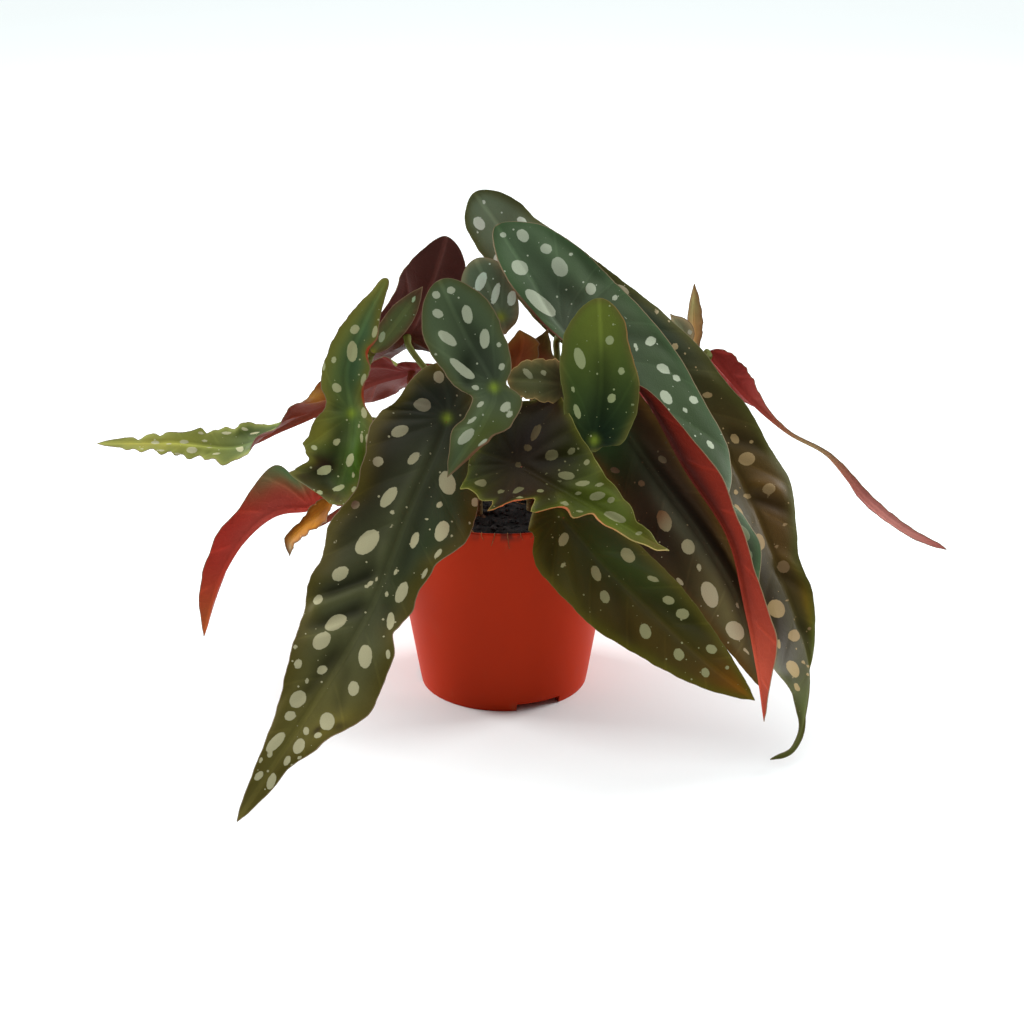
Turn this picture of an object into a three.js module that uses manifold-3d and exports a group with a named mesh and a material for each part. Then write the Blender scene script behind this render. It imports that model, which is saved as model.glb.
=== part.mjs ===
// Potted polka dot begonia: a thin plastic nursery pot, potting soil, three canes with their leaf
// stalks, and the leaves, each blade a piece of its own. Millimetres, +Z up, origin on the ground
// under the middle of the pot; the plant is looked at from -Y.
import * as THREE from 'three';
import { mergeVertices } from 'three/addons/utils/BufferGeometryUtils.js';
import Module from 'manifold-3d';

const wasm = await Module();
wasm.setup();

// Pot
const POT_HEIGHT = 103;
const POT_RIM_RADIUS = 60;
const POT_BASE_RADIUS = 43;
const POT_FLARE = (POT_RIM_RADIUS - POT_BASE_RADIUS) / POT_HEIGHT;
const POT_WALL = 1.4;
const POT_FLOOR_UNDER = 3;
const POT_FLOOR_THICK = 1.6;
const POT_FOOT_WIDTH = 4;
const POT_FOOT_SLOPE = 1;
const POT_SIDES = 48;
const RIM_ROUNDING = 0.5;
const NOTCH_COUNT = 3;
const NOTCH_HEIGHT = 4;
const NOTCH_DEPTH = 20;
const NOTCH_FIRST_DEG = 24.6;
const NOTCH_SPAN_DEG = 32;

// Soil
const SOIL_LEVEL = 94;
const SOIL_RINGS = 5;
const SOIL_LUMPS = [
  { height: 1.6, wideX: 30, wideY: 37 },
  { height: 1, wideX: 48, wideY: 22 }
];
const SEAT_GAP = 0.3;

// Canes and stalks
const CANE_BURIED_TO = 48;
const CANE_UPRIGHT_TO = 80;
const CANE_RADIUS = 4;
const CANE_TOP_RADIUS = 2.6;
const CANE_NODES = 7;
const CANE_NODE_SWELL = 0.8;
const CANE_NODE_SHARPNESS = 6;
const CANE_HOLE_TOP = 114;
const CANE_SIDES = 10;
const CANE_STEPS = 4;
const STALK_RADIUS = 1.7;
const STALK_SIDES = 6;
const STALK_STEPS = 3;

// Leaf blades
const BLADE_THICKNESS = 0.9;
const BLADE_TIP_HALF = 0.9;
const LOBE_ROUNDING = 0.75;
const NARROW_START = 0.6;
const WAVE_SHIFT = 0.4;
const WAVE_FULL_WIDTH = 15;
const STALK_APPROACH = 9;

// Curves: how far on either side of a point the direction is taken, and how finely a height is sought
const DIRECTION_STEP = 0.02;
const SEARCH_STEPS = 40;
const ALMOST_FLAT = 1e-4;

// Each cane: where it stands in the soil, and its line above it.
const CANES = [
  {
    name: 'cane_left',
    foot: [-14, -12],
    rise: [[-14, -12, 100], [-15, -13, 130], [-14, -14, 155], [-12, -15, 178]]
  },
  {
    name: 'cane_right',
    foot: [15, -6],
    rise: [[15, -6, 100], [17, -9, 128], [16, -15, 150], [14, -22, 170]]
  },
  {
    name: 'cane_back',
    foot: [0, 18],
    rise: [[0, 18, 100], [2, 18, 124], [6, 16, 146], [10, 14, 164]]
  }
];

// Each blade: its finish, its spine from the far end of the basal lobe over the stalk's seat to the
// tip, the half widths on either side at each spine point, the way its upper face looks along it, and
// how it folds along the midrib, curls towards its margins and waves (height, number, phase). Left and
// right are seen on the upper face, tip down. Degrees for folds and curls.
const LEAVES = {
  "leaf_front_left": {
    "finish": "leaf_dark",
    "spine": [[-31, -46, 184], [-26, -62, 162], [-42, -95, 130], [-56, -122, 99],
      [-68, -140, 81], [-88, -163, 55], [-115, -185, 19]],
    "seat": 1, "left": [20, 29, 25, 29, 25, 13, 1], "right": [18, 17, 30, 15, 21, 12, 1],
    "face": [[0.1, -0.9, 0.35], [-0.05, -0.75, 0.65], [-0.1, -0.9, 0.4]],
    "fold": [4, 10, 14, 16], "curl": [-14, -14], "wave": [3, 4.5, 0.5],
    "stations": [4, 18], "strips": 3,
    "stalk": { "cane": 0, "height": 132, "by": [[-20, -38, 146]] }
  },
  "leaf_left_bright": {
    "finish": "leaf_bright",
    "spine": [[-55, -20, 218], [-66, -30, 198], [-74, -38, 178], [-72, -46, 159],
      [-73, -58, 145], [-77, -60, 129], [-83, -50, 115]],
    "seat": 3, "left": [9, 12, 12, 10, 21, 22, 3], "right": [6, 8, 11, 9, 13, 12, 3],
    "face": [[-0.1, -0.85, 0.3], [0.1, -0.95, 0.3], [0, -0.7, 0.7], [0, -1, -0.2]],
    "fold": [2, 6, 4, 4], "curl": [-8, -10], "wave": [2.5, 3, 0.3],
    "stations": [7, 9], "strips": 3,
    "stalk": { "cane": 0, "height": 140, "by": [[-40, -24, 146]] }
  },
  "leaf_young_centre": {
    "finish": "leaf_blue_green",
    "spine": [[-29, -58, 227], [-17, -66, 203], [-4, -78, 182], [-8, -88, 170],
      [-17, -95, 158], [-25, -98, 146]],
    "seat": 2, "left": [14, 18, 13, 10, 6, 1], "right": [13, 17, 10, 12, 7, 1],
    "face": [[-0.1, -0.9, 0.35], [0, -0.8, 0.6], [-0.2, -0.9, 0.2]],
    "fold": [3, 8, 12], "curl": [-8, -8], "wave": [1, 3, 0],
    "stations": [7, 8], "strips": 3,
    "stalk": { "cane": 0, "height": 160, "by": [[-8, -40, 168]] }
  },
  "leaf_upright_right": {
    "finish": "leaf_olive",
    "spine": [[44, -56, 218], [45, -63, 198], [45, -70, 176], [42, -76, 156], [42, -75, 150]],
    "seat": 3, "left": [11, 18, 19, 11, 4], "right": [10, 16, 18, 13, 4],
    "face": [[0.05, -0.95, 0.3], [0.05, -0.95, 0.2]],
    "fold": [4, 4, 2], "curl": [-10, -10], "wave": [0.6, 2, 0],
    "stations": [9, 3], "strips": 3,
    "stalk": { "cane": 1, "height": 148, "by": [[31, -44, 156]] }
  },
  "leaf_dark_right": {
    "finish": "leaf_brown",
    "spine": [[43, -24, 173], [50, -32, 159], [73, -58, 131], [92, -76, 109],
      [109, -92, 83], [122, -104, 42]],
    "seat": 1, "left": [10, 14, 22, 24, 20, 1], "right": [12, 16, 16, 12, 7, 1],
    "face": [[0, -0.8, 0.6], [-0.2, -0.8, 0.55], [0, -0.9, 0.3]],
    "fold": [6, 12, 16, 14], "curl": [-6, 6], "wave": [1.5, 3, 1],
    "stations": [4, 14], "strips": 3,
    "stalk": { "cane": 1, "height": 136, "by": [[36, -18, 144]] }
  },
  "leaf_low_centre": {
    "finish": "leaf_brown",
    "spine": [[-13, -78, 152], [7, -90, 149], [26, -102, 142], [44, -112, 135],
      [61, -120, 127], [74, -124, 121]],
    "seat": 1, "left": [18, 30, 14, 9, 6, 1], "right": [24, 32, 24, 12, 7, 1],
    "face": [[0, -0.6, 0.8], [0.05, -0.6, 0.8], [0.1, -0.6, 0.75]],
    "fold": [4, 10, 10], "curl": [30, -6], "wave": [3, 4, 1.2],
    "stations": [5, 14], "strips": 3,
    "stalk": { "cane": 1, "height": 118, "by": [[14, -62, 131]] }
  },
  "leaf_low_right": {
    "finish": "leaf_dark",
    "spine": [[18, -72, 126], [27, -78, 120], [45, -95, 104], [67, -112, 87],
      [91, -128, 69], [113, -140, 55]],
    "seat": 1, "left": [14, 20, 25, 21, 13, 1], "right": [12, 16, 18, 18, 12, 1],
    "face": [[0, -0.7, 0.7], [0.1, -0.8, 0.6], [0.1, -0.9, 0.4]],
    "fold": [4, 6, 6], "curl": [-12, -12], "wave": [1.5, 3, 0.4],
    "stations": [4, 14], "strips": 3,
    "stalk": { "cane": 1, "height": 106, "by": [[20, -50, 113]] }
  },
  "leaf_large_right": {
    "finish": "leaf_blue_green",
    "spine": [[-3, -30, 246], [12, -38, 224], [29, -44, 198], [64, -52, 174],
      [86, -78, 138], [101, -95, 112], [112, -106, 82],
      [117, -112, 59], [121, -116, 32]],
    "seat": 2, "left": [8, 12, 14, 11, 19, 16, 16, 12, 1], "right": [12, 24, 38, 27, 20, 19, 12, 6, 1],
    "face": [[0.2, -0.85, 0.5], [0.45, -0.65, 0.55], [0.86, 0, 0.5], [0.88, 0, 0.45], [0.9, -0.1, 0.3]],
    "fold": [4, 12, 40, 42, 35], "curl": [0, 0], "wave": [1.5, 4, 0.6],
    "stations": [6, 17], "strips": 3,
    "stalk": { "cane": 1, "height": 160, "by": [[25, -28, 176]] }
  },
  "leaf_behind_right": {
    "finish": "leaf_blue_green",
    "spine": [[-14, 4, 254], [6, -4, 229], [32, -10, 200], [66, -15, 181],
      [93, -25, 156], [117, -42, 119], [134, -62, 80],
      [146, -80, 46], [144, -92, 23], [138, -99, 9], [127, -101, 4]],
    "seat": 2, "left": [12, 16, 16, 16, 18, 18, 20, 21, 4, 2, 1],
    "right": [12, 22, 27, 24, 22, 21, 14, 6, 3, 2, 1],
    "face": [[0, -0.85, 0.5], [0.3, -0.8, 0.5], [0.5, -0.7, 0.4], [0.6, -0.7, 0.3]],
    "fold": [4, 8, 14, 16], "curl": [-4, -8], "wave": [3, 5, 0.2],
    "stations": [5, 20], "strips": 3,
    "stalk": { "cane": 2, "height": 152, "by": [[32, 14, 168]] }
  },
  "leaf_maroon_back": {
    "finish": "leaf_maroon",
    "spine": [[-28, 24, 228], [-36, 18, 205], [-48, 12, 180], [-62, 32, 166],
      [-76, 66, 148], [-92, 104, 108]],
    "seat": 2, "left": [13, 17, 18, 20, 16, 1], "right": [8, 15, 20, 20, 16, 1],
    "face": [[-0.1, 0.95, 0.3], [-0.2, 0.8, 0.6], [-0.5, 0.6, 0.7]],
    "fold": [4, 8, 10], "curl": [-8, -8], "wave": [1.5, 3, 0],
    "stations": [6, 10], "strips": 2,
    "stalk": { "cane": 0, "height": 148, "by": [[-34, -6, 164]] }
  },
  "leaf_far_left": {
    "finish": "leaf_red",
    "spine": [[-39, 6, 168], [-46, 12, 162], [-68, 20, 153], [-94, 28, 136], [-116, 34, 124],
      [-141, 42, 111], [-176, 50, 111], [-217, 60, 107]],
    "seat": 1, "left": [15, 18, 20, 18, 14, 12, 7, 1], "right": [12, 16, 20, 18, 14, 12, 7, 1],
    "face": [[-0.2, 0.6, 0.8], [-0.2, 0.7, 0.7], [0, 0.3, 1], [0, -0.6, 0.8], [0, -0.6, 0.8]],
    "fold": [4, 8, 12, 10], "curl": [-4, -4], "wave": [2, 7, 0],
    "stations": [3, 16], "strips": 2,
    "stalk": { "cane": 0, "height": 134, "by": [[-28, 4, 146]] }
  },
  "leaf_red_left": {
    "finish": "leaf_red",
    "spine": [[-80, 0, 98], [-96, 0, 94], [-117, -2, 91], [-133, -8, 78], [-145, -14, 57], [-153, -18, 30]],
    "seat": 1, "left": [10, 22, 20, 12, 7, 1], "right": [8, 15, 16, 16, 9, 1],
    "face": [[0, 0.25, 1], [-0.3, 0.6, 0.75], [-0.7, 0.6, 0.4]],
    "fold": [48, 56, 34, 20], "curl": [0, 0], "wave": [1, 3, 0],
    "stations": [3, 11], "strips": 2,
    "stalk": { "cane": 0, "height": 108, "by": [[-56, -6, 109]] }
  },
  "leaf_withered": {
    "finish": "leaf_withered",
    "spine": [[-84, -12, 104], [-96, -16, 94], [-106, -20, 85], [-107, -22, 76]],
    "seat": 0, "left": [5, 8, 6, 1], "right": [5, 8, 6, 1],
    "face": [[-0.3, -0.7, 0.6], [-0.3, -0.8, 0.4]],
    "fold": [20, 20], "curl": [20, 20], "wave": [1.5, 3, 0],
    "stations": [0, 9], "strips": 2,
    "stalk": { "cane": 0, "height": 104, "by": [[-60, -12, 108]] }
  },
  "leaf_small_olive": {
    "finish": "leaf_olive",
    "spine": [[2, -60, 180], [15, -61, 180], [30, -56, 176], [41, -48, 169]],
    "seat": 2, "left": [7, 9, 9, 2], "right": [7, 10, 10, 2],
    "face": [[0, -0.9, 0.4], [0.1, -0.9, 0.4]],
    "fold": [6, 6], "curl": [-6, -6], "wave": [0.8, 3, 0],
    "stations": [6, 4], "strips": 2,
    "stalk": { "cane": 1, "height": 156, "by": [[24, -40, 166]] }
  },
  "leaf_far_right": {
    "finish": "leaf_maroon",
    "spine": [[104, 35, 165], [113, 30, 156], [125, 22, 145], [144, 8, 132], [163, -5, 124],
      [180, -18, 105], [198, -30, 93], [217, -40, 87]],
    "seat": 0, "left": [8, 11, 10, 2, 2, 3.5, 3, 1], "right": [8, 11, 10, 2, 2, 3.5, 3, 1],
    "face": [[0.2, 0.9, 0.3], [0.1, 0.7, 0.6], [0.2, 0.3, 0.9], [0.2, 0.9, 0.1], [0.2, 0.95, -0.1]],
    "fold": [10, 12, 12], "curl": [0, 0], "wave": [1, 3, 0],
    "stations": [0, 16], "strips": 2,
    "stalk": { "cane": 2, "height": 148, "by": [[50, 34, 168]] }
  },
  "leaf_small_centre": {
    "finish": "leaf_blue_green",
    "spine": [[-13, -26, 229], [-7, -33, 217], [-1, -38, 204], [1, -36, 195]],
    "seat": 2, "left": [10, 12, 9, 2], "right": [9, 12, 9, 2],
    "face": [[0, -0.9, 0.4], [0, -0.9, 0.4]],
    "fold": [4, 8], "curl": [-6, -6], "wave": [0.6, 2, 0],
    "stations": [6, 3], "strips": 2,
    "stalk": { "cane": 0, "height": 172, "by": [[-4, -24, 190]] }
  },
  "leaf_small_left": {
    "finish": "leaf_bright",
    "spine": [[-64, -12, 179], [-56, -9, 188], [-48, -7, 198], [-39, -5, 210]],
    "seat": 0, "left": [4, 6, 6, 1], "right": [4, 6, 6, 1],
    "face": [[0.1, -0.9, 0.3], [0.1, -0.9, 0.3]],
    "fold": [6, 6], "curl": [-4, -4], "wave": [1, 3, 0],
    "stations": [0, 8], "strips": 2,
    "stalk": { "cane": 0, "height": 126, "by": [[-46, -18, 134], [-71, -22, 152]] }
  },
  "leaf_bud_right": {
    "finish": "leaf_bud",
    "spine": [[97, 28, 168], [95, 26, 187], [95, 24, 204]],
    "seat": 0, "left": [4, 5, 1], "right": [4, 5, 1],
    "face": [[0.3, -0.9, 0.2], [0.3, -0.9, 0.2]],
    "fold": [30, 30], "curl": [10, 10], "wave": [0, 1, 0],
    "stations": [0, 8], "strips": 2,
    "stalk": { "cane": 2, "height": 156, "by": [[46, 26, 162]] }
  },
  "leaf_young_right": {
    "finish": "leaf_blue_green",
    "spine": [[93, 24, 170], [89, 21, 181], [83, 18, 190]],
    "seat": 0, "left": [3, 6, 1], "right": [3, 6, 1],
    "face": [[0.1, -0.9, 0.4], [0.1, -0.9, 0.4]],
    "fold": [20, 20], "curl": [10, 10], "wave": [0.8, 2, 0],
    "stations": [0, 7], "strips": 2,
    "stalk": { "cane": 2, "height": 152, "by": [[46, 20, 156]] }
  },
  "stipule_left": {
    "finish": "stipule",
    "spine": [[6, -40, 174], [5, -43, 187], [2, -46, 200]],
    "seat": 0, "left": [4, 7, 1], "right": [4, 7, 1],
    "face": [[0, -0.9, 0.3], [0, -0.9, 0.3]],
    "fold": [20, 20], "curl": [15, 15], "wave": [1, 2, 0],
    "stations": [0, 7], "strips": 2,
    "stalk": { "cane": 1, "height": 162, "by": [] }
  },
  "stipule_right": {
    "finish": "stipule",
    "spine": [[14, -38, 176], [17, -40, 188], [21, -41, 199]],
    "seat": 0, "left": [4, 7, 1], "right": [4, 6, 1],
    "face": [[0, -0.9, 0.3], [0, -0.9, 0.3]],
    "fold": [20, 20], "curl": [15, 15], "wave": [1, 2, 0.5],
    "stations": [0, 7], "strips": 2,
    "stalk": { "cane": 1, "height": 158, "by": [] }
  },
  "leaf_back_right": {
    "finish": "leaf_dark",
    "spine": [[32, 30, 150], [42, 46, 147], [56, 84, 134], [66, 130, 102], [74, 185, 54]],
    "seat": 1, "left": [22, 30, 34, 26, 1], "right": [22, 30, 34, 26, 1],
    "face": [[0.1, 0.3, 0.9], [0.2, 0.5, 0.8], [0.3, 0.8, 0.5]],
    "fold": [4, 10, 12], "curl": [-12, -12], "wave": [3, 3, 0.4],
    "stations": [4, 13], "strips": 3,
    "stalk": { "cane": 2, "height": 126, "by": [[28, 32, 136]] }
  },
  "leaf_back_left": {
    "finish": "leaf_blue_green",
    "spine": [[-16, 40, 140], [-24, 56, 134], [-38, 92, 118], [-50, 134, 88], [-58, 185, 42]],
    "seat": 1, "left": [18, 24, 26, 20, 1], "right": [18, 24, 26, 20, 1],
    "face": [[-0.1, 0.3, 0.9], [-0.2, 0.5, 0.8], [-0.3, 0.8, 0.5]],
    "fold": [4, 10, 12], "curl": [-12, -12], "wave": [3, 3, 1.4],
    "stations": [4, 13], "strips": 3,
    "stalk": { "cane": 2, "height": 118, "by": [[-18, 40, 124]] }
  },
  "leaf_back_low": {
    "finish": "leaf_dark",
    "spine": [[4, 52, 122], [6, 62, 119], [8, 92, 108], [8, 122, 84], [6, 146, 52]],
    "seat": 1, "left": [14, 20, 22, 18, 1], "right": [14, 20, 22, 18, 1],
    "face": [[0, 0.3, 0.9], [0, 0.5, 0.8], [0, 0.8, 0.5]],
    "fold": [4, 8, 10], "curl": [-10, -10], "wave": [2, 3, 2.1],
    "stations": [4, 11], "strips": 2,
    "stalk": { "cane": 2, "height": 107, "by": [[4, 42, 113]] }
  }
};

const FINISHES = {
  pot: { color: 0xc0401c, roughness: 0.42, metalness: 0 },
  soil: { color: 0x1e1612, roughness: 0.95, metalness: 0 },
  cane: { color: 0x5b4a2c, roughness: 0.55, metalness: 0 },
  leaf_blue_green: { color: 0x3e5c44, roughness: 0.4, metalness: 0 },
  leaf_dark: { color: 0x2c3a26, roughness: 0.4, metalness: 0 },
  leaf_bright: { color: 0x506e23, roughness: 0.4, metalness: 0 },
  leaf_olive: { color: 0x5f7328, roughness: 0.4, metalness: 0 },
  leaf_brown: { color: 0x33281f, roughness: 0.4, metalness: 0 },
  leaf_maroon: { color: 0x412123, roughness: 0.45, metalness: 0 },
  leaf_red: { color: 0xaa3a30, roughness: 0.45, metalness: 0 },
  leaf_withered: { color: 0xb9742a, roughness: 0.7, metalness: 0 },
  leaf_bud: { color: 0xbe965a, roughness: 0.6, metalness: 0 },
  stipule: { color: 0xa5502a, roughness: 0.6, metalness: 0 }
};

const radians = (degrees) => degrees * Math.PI / 180;

// A smooth curve through rows of numbers, at t from 0 to the last row's index.
function spline(rows, t) {
  const last = rows.length - 1;
  const index = Math.min(Math.floor(t), last - 1);
  const u = t - index;
  const row = (i) => rows[Math.max(0, Math.min(last, i))];
  const [a, b, c, d] = [row(index - 1), row(index), row(index + 1), row(index + 2)];
  return b.map((value, k) => {
    const slopeStart = (c[k] - a[k]) / (index > 0 ? 2 : 1);
    const slopeEnd = (d[k] - b[k]) / (index < last - 1 ? 2 : 1);
    const rise = c[k] - value;
    return value + u * (slopeStart + u * (3 * rise - 2 * slopeStart - slopeEnd
      + u * (slopeStart + slopeEnd - 2 * rise)));
  });
}

// One number per row, spread evenly over the whole curve.
const along = (values, fraction) => spline(values.map((v) => [v].flat()), fraction * (values.length - 1));

const toVector = (row) => new THREE.Vector3(...row);

// The way a curve runs at t.
function direction(rows, t) {
  const before = toVector(spline(rows, Math.max(0, t - DIRECTION_STEP)));
  const after = toVector(spline(rows, Math.min(rows.length - 1, t + DIRECTION_STEP)));
  return after.sub(before).normalize();
}

// The blade's frame at t: a point of the midrib, the way to the tip, the upper face's way and the right.
function bladeFrame(leaf, t) {
  const last = leaf.spine.length - 1;
  const origin = toVector(spline(leaf.spine, t));
  const tipward = direction(leaf.spine, t);
  const face = toVector(along(leaf.face, t / last));
  face.addScaledVector(tipward, -face.dot(tipward)).normalize();
  const right = new THREE.Vector3().crossVectors(face, tipward);
  return { origin, face, right };
}

// How far a point across the blade lies from the midrib, to the side and up, on an arc.
function crossSection(width, share, fold, curl) {
  const end = fold + curl * share;
  const length = width * share;
  if (Math.abs(curl * share) < ALMOST_FLAT) {
    return [length * Math.cos(fold), length * Math.sin(fold)];
  }
  const radius = length / (end - fold);
  return [radius * (Math.sin(end) - Math.sin(fold)), radius * (Math.cos(fold) - Math.cos(end))];
}

// A point of the blade's middle surface; across runs from -1 at the left margin to 1 at the right.
function bladePoint(leaf, t, across) {
  const last = leaf.spine.length - 1;
  const { origin, face, right } = bladeFrame(leaf, t);
  const side = across < 0 ? 'left' : 'right';
  const share = Math.abs(across);
  const lobe = Math.min(t / LOBE_ROUNDING, 1);
  const round = Math.sqrt(1 - (1 - lobe) ** 2);
  const width = Math.max(BLADE_TIP_HALF, spline(leaf[side].map((w) => [w]), t)[0] * round);
  const fold = radians(along(leaf.fold, t / last)[0]);
  const curl = radians(leaf.curl[across < 0 ? 0 : 1]);
  const [out, up] = crossSection(width, share, fold, curl);
  const [height, count, phase] = leaf.wave;
  const turn = 2 * Math.PI * (count * t / last + phase + (across < 0 ? WAVE_SHIFT : 0));
  const calm = Math.min(1, width / WAVE_FULL_WIDTH);
  const wave = height * calm * share ** 2 * Math.sin(turn);
  return origin.addScaledVector(right, Math.sign(across) * out).addScaledVector(face, up + wave);
}

// The stations along the spine: close together on the round lobe and at the tip, one on the seat.
function bladeStations(leaf) {
  const last = leaf.spine.length - 1;
  const [lobeSteps, bladeSteps] = leaf.stations;
  const stations = [];
  for (let i = 0; i < lobeSteps; i++) {
    stations.push(leaf.seat * (1 - Math.cos(0.5 * Math.PI * i / lobeSteps)));
  }
  for (let i = 0; i <= bladeSteps; i++) {
    const fraction = i / bladeSteps;
    const narrow = fraction ** 2 * (1 + NARROW_START - NARROW_START * fraction);
    const eased = lobeSteps > 0 ? fraction : narrow;
    stations.push(leaf.seat + (last - leaf.seat) * eased);
  }
  return stations;
}

// A blade as a closed solid: the same triangles on both faces, and a blunt edge all round.
function bladeGeometry(leaf) {
  const stations = bladeStations(leaf);
  const columns = 2 * leaf.strips + 1;
  const middle = stations.map((t) => Array.from({ length: columns },
    (_, j) => bladePoint(leaf, t, j / leaf.strips - 1)));
  const rows = middle.length;
  const clampRow = (i) => Math.max(0, Math.min(rows - 1, i));
  const clampColumn = (j) => Math.max(0, Math.min(columns - 1, j));
  const positions = [];
  for (const side of [1, -1]) {
    for (let i = 0; i < rows; i++) {
      for (let j = 0; j < columns; j++) {
        const down = middle[clampRow(i + 1)][j].clone().sub(middle[clampRow(i - 1)][j]);
        const over = middle[i][clampColumn(j + 1)].clone().sub(middle[i][clampColumn(j - 1)]);
        const normal = over.cross(down).normalize().negate();
        const point = middle[i][j].clone().addScaledVector(normal, side * BLADE_THICKNESS / 2);
        positions.push(...point.toArray());
      }
    }
  }
  const top = (i, j) => i * columns + j;
  const bottom = (i, j) => rows * columns + top(i, j);
  const indices = [];
  for (let i = 0; i < rows - 1; i++) {
    for (let j = 0; j < columns - 1; j++) {
      const [a, b, c, d] = [[i, j], [i, j + 1], [i + 1, j + 1], [i + 1, j]];
      const halves = (i + j) % 2 ? [[a, b, c], [a, c, d]] : [[a, b, d], [b, c, d]];
      for (const [p, q, r] of halves) {
        indices.push(top(...p), top(...r), top(...q));
        indices.push(bottom(...p), bottom(...q), bottom(...r));
      }
    }
  }
  const count = (length) => Array.from({ length }, (_, k) => k);
  const border = [
    ...count(columns - 1).map((j) => [0, j]),
    ...count(rows - 1).map((i) => [i, columns - 1]),
    ...count(columns - 1).map((j) => [rows - 1, columns - 1 - j]),
    ...count(rows - 1).map((i) => [rows - 1 - i, 0])
  ];
  border.forEach((start, k) => {
    const end = border[(k + 1) % border.length];
    indices.push(top(...start), top(...end), bottom(...end));
    indices.push(top(...start), bottom(...end), bottom(...start));
  });
  return indexedGeometry(positions, indices);
}

function indexedGeometry(positions, indices) {
  const geometry = new THREE.BufferGeometry();
  geometry.setAttribute('position', new THREE.Float32BufferAttribute(positions, 3));
  geometry.setIndex(indices);
  geometry.computeVertexNormals();
  return geometry;
}

function toSolid(geometry) {
  const bare = geometry.clone();
  bare.deleteAttribute('normal');
  bare.deleteAttribute('uv');
  const merged = mergeVertices(bare);
  return new wasm.Manifold(new wasm.Mesh({
    numProp: 3,
    vertProperties: new Float32Array(merged.attributes.position.array),
    triVerts: new Uint32Array(merged.index.array)
  }));
}

function fromSolid(solid) {
  const mesh = solid.getMesh();
  return indexedGeometry(Array.from(mesh.vertProperties), Array.from(mesh.triVerts));
}

// A closed round rod along a smooth curve through the points, with its radius given by a rule.
function rodGeometry(points, radiusAt, sides, stepsPerPoint) {
  const steps = (points.length - 1) * stepsPerPoint;
  const positions = [];
  const indices = [];
  const across = new THREE.Vector3(1, 0, 0);
  for (let i = 0; i <= steps; i++) {
    const t = i / stepsPerPoint;
    const centre = toVector(spline(points, t));
    const ahead = direction(points, t);
    across.addScaledVector(ahead, -across.dot(ahead)).normalize();
    const other = new THREE.Vector3().crossVectors(ahead, across);
    const radius = radiusAt(i / steps);
    for (let k = 0; k < sides; k++) {
      const angle = 2 * Math.PI * k / sides;
      const point = centre.clone().addScaledVector(across, radius * Math.cos(angle));
      positions.push(...point.addScaledVector(other, radius * Math.sin(angle)).toArray());
    }
  }
  for (let i = 0; i < steps; i++) {
    for (let k = 0; k < sides; k++) {
      const [a, b] = [i * sides + k, i * sides + (k + 1) % sides];
      indices.push(a, b, b + sides, a, b + sides, a + sides);
    }
  }
  for (let k = 1; k < sides - 1; k++) {
    indices.push(0, k + 1, k);
    indices.push(steps * sides, steps * sides + k, steps * sides + k + 1);
  }
  return indexedGeometry(positions, indices);
}

// The cane's own line above and below the soil, and the point on it at a height.
const caneLine = (cane) => [
  [...cane.foot, CANE_BURIED_TO],
  [...cane.foot, CANE_UPRIGHT_TO],
  ...cane.rise
];

function canePoint(cane, height) {
  const line = caneLine(cane);
  const steps = SEARCH_STEPS * (line.length - 1);
  for (let i = 0; i <= steps; i++) {
    const point = spline(line, i / SEARCH_STEPS);
    if (point[2] >= height) {
      return point;
    }
  }
  return spline(line, line.length - 1);
}

// The stalk runs from inside the cane to just under the blade, and meets it square on.
function stalkPoints(leaf) {
  const seatFrame = bladeFrame(leaf, leaf.seat);
  const stand = (distance) => seatFrame.origin.clone().addScaledVector(seatFrame.face, -distance).toArray();
  const start = canePoint(CANES[leaf.stalk.cane], leaf.stalk.height);
  return [start, ...leaf.stalk.by, stand(STALK_APPROACH), stand(BLADE_THICKNESS / 2 + SEAT_GAP)];
}

function caneGeometry(cane, index) {
  const radiusAt = (fraction) => {
    const taper = CANE_RADIUS + (CANE_TOP_RADIUS - CANE_RADIUS) * fraction;
    const nearNode = Math.max(0, Math.cos(2 * Math.PI * CANE_NODES * fraction));
    return taper + CANE_NODE_SWELL * nearNode ** CANE_NODE_SHARPNESS;
  };
  let solid = toSolid(rodGeometry(caneLine(cane), radiusAt, CANE_SIDES, CANE_STEPS));
  for (const leaf of Object.values(LEAVES)) {
    if (leaf.stalk.cane === index) {
      const stalk = rodGeometry(stalkPoints(leaf), () => STALK_RADIUS, STALK_SIDES, STALK_STEPS);
      solid = solid.add(toSolid(stalk));
    }
  }
  return fromSolid(solid);
}

// A straight upright hole round each cane, a little wider than the cane at its thickest.
function caneHole(cane) {
  const radius = CANE_RADIUS + CANE_NODE_SWELL + SEAT_GAP;
  const height = CANE_HOLE_TOP - CANE_BURIED_TO;
  const hole = new THREE.CylinderGeometry(radius, radius, height, CANE_SIDES);
  hole.rotateX(Math.PI / 2);
  hole.translate(...cane.foot, CANE_BURIED_TO - SEAT_GAP + height / 2);
  return toSolid(hole);
}

const potOuterRadius = (height) => POT_BASE_RADIUS + POT_FLARE * height;
const potInnerRadius = (height) => potOuterRadius(height) - POT_WALL;

function turned(profile) {
  const geometry = new THREE.LatheGeometry(profile.map(([r, z]) => new THREE.Vector2(r, z)), POT_SIDES);
  geometry.rotateX(Math.PI / 2);
  return toSolid(geometry);
}

// The notch in the foot ring that lets water drain, as a block standing across the ring.
function footNotch(index) {
  const centre = radians(-90 + NOTCH_FIRST_DEG + index * 360 / NOTCH_COUNT);
  const width = 2 * POT_BASE_RADIUS * Math.sin(radians(NOTCH_SPAN_DEG / 2));
  const block = new THREE.BoxGeometry(NOTCH_DEPTH, width, 2 * NOTCH_HEIGHT);
  block.rotateZ(centre);
  block.translate(POT_BASE_RADIUS * Math.cos(centre), POT_BASE_RADIUS * Math.sin(centre), 0);
  return toSolid(block);
}

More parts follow.
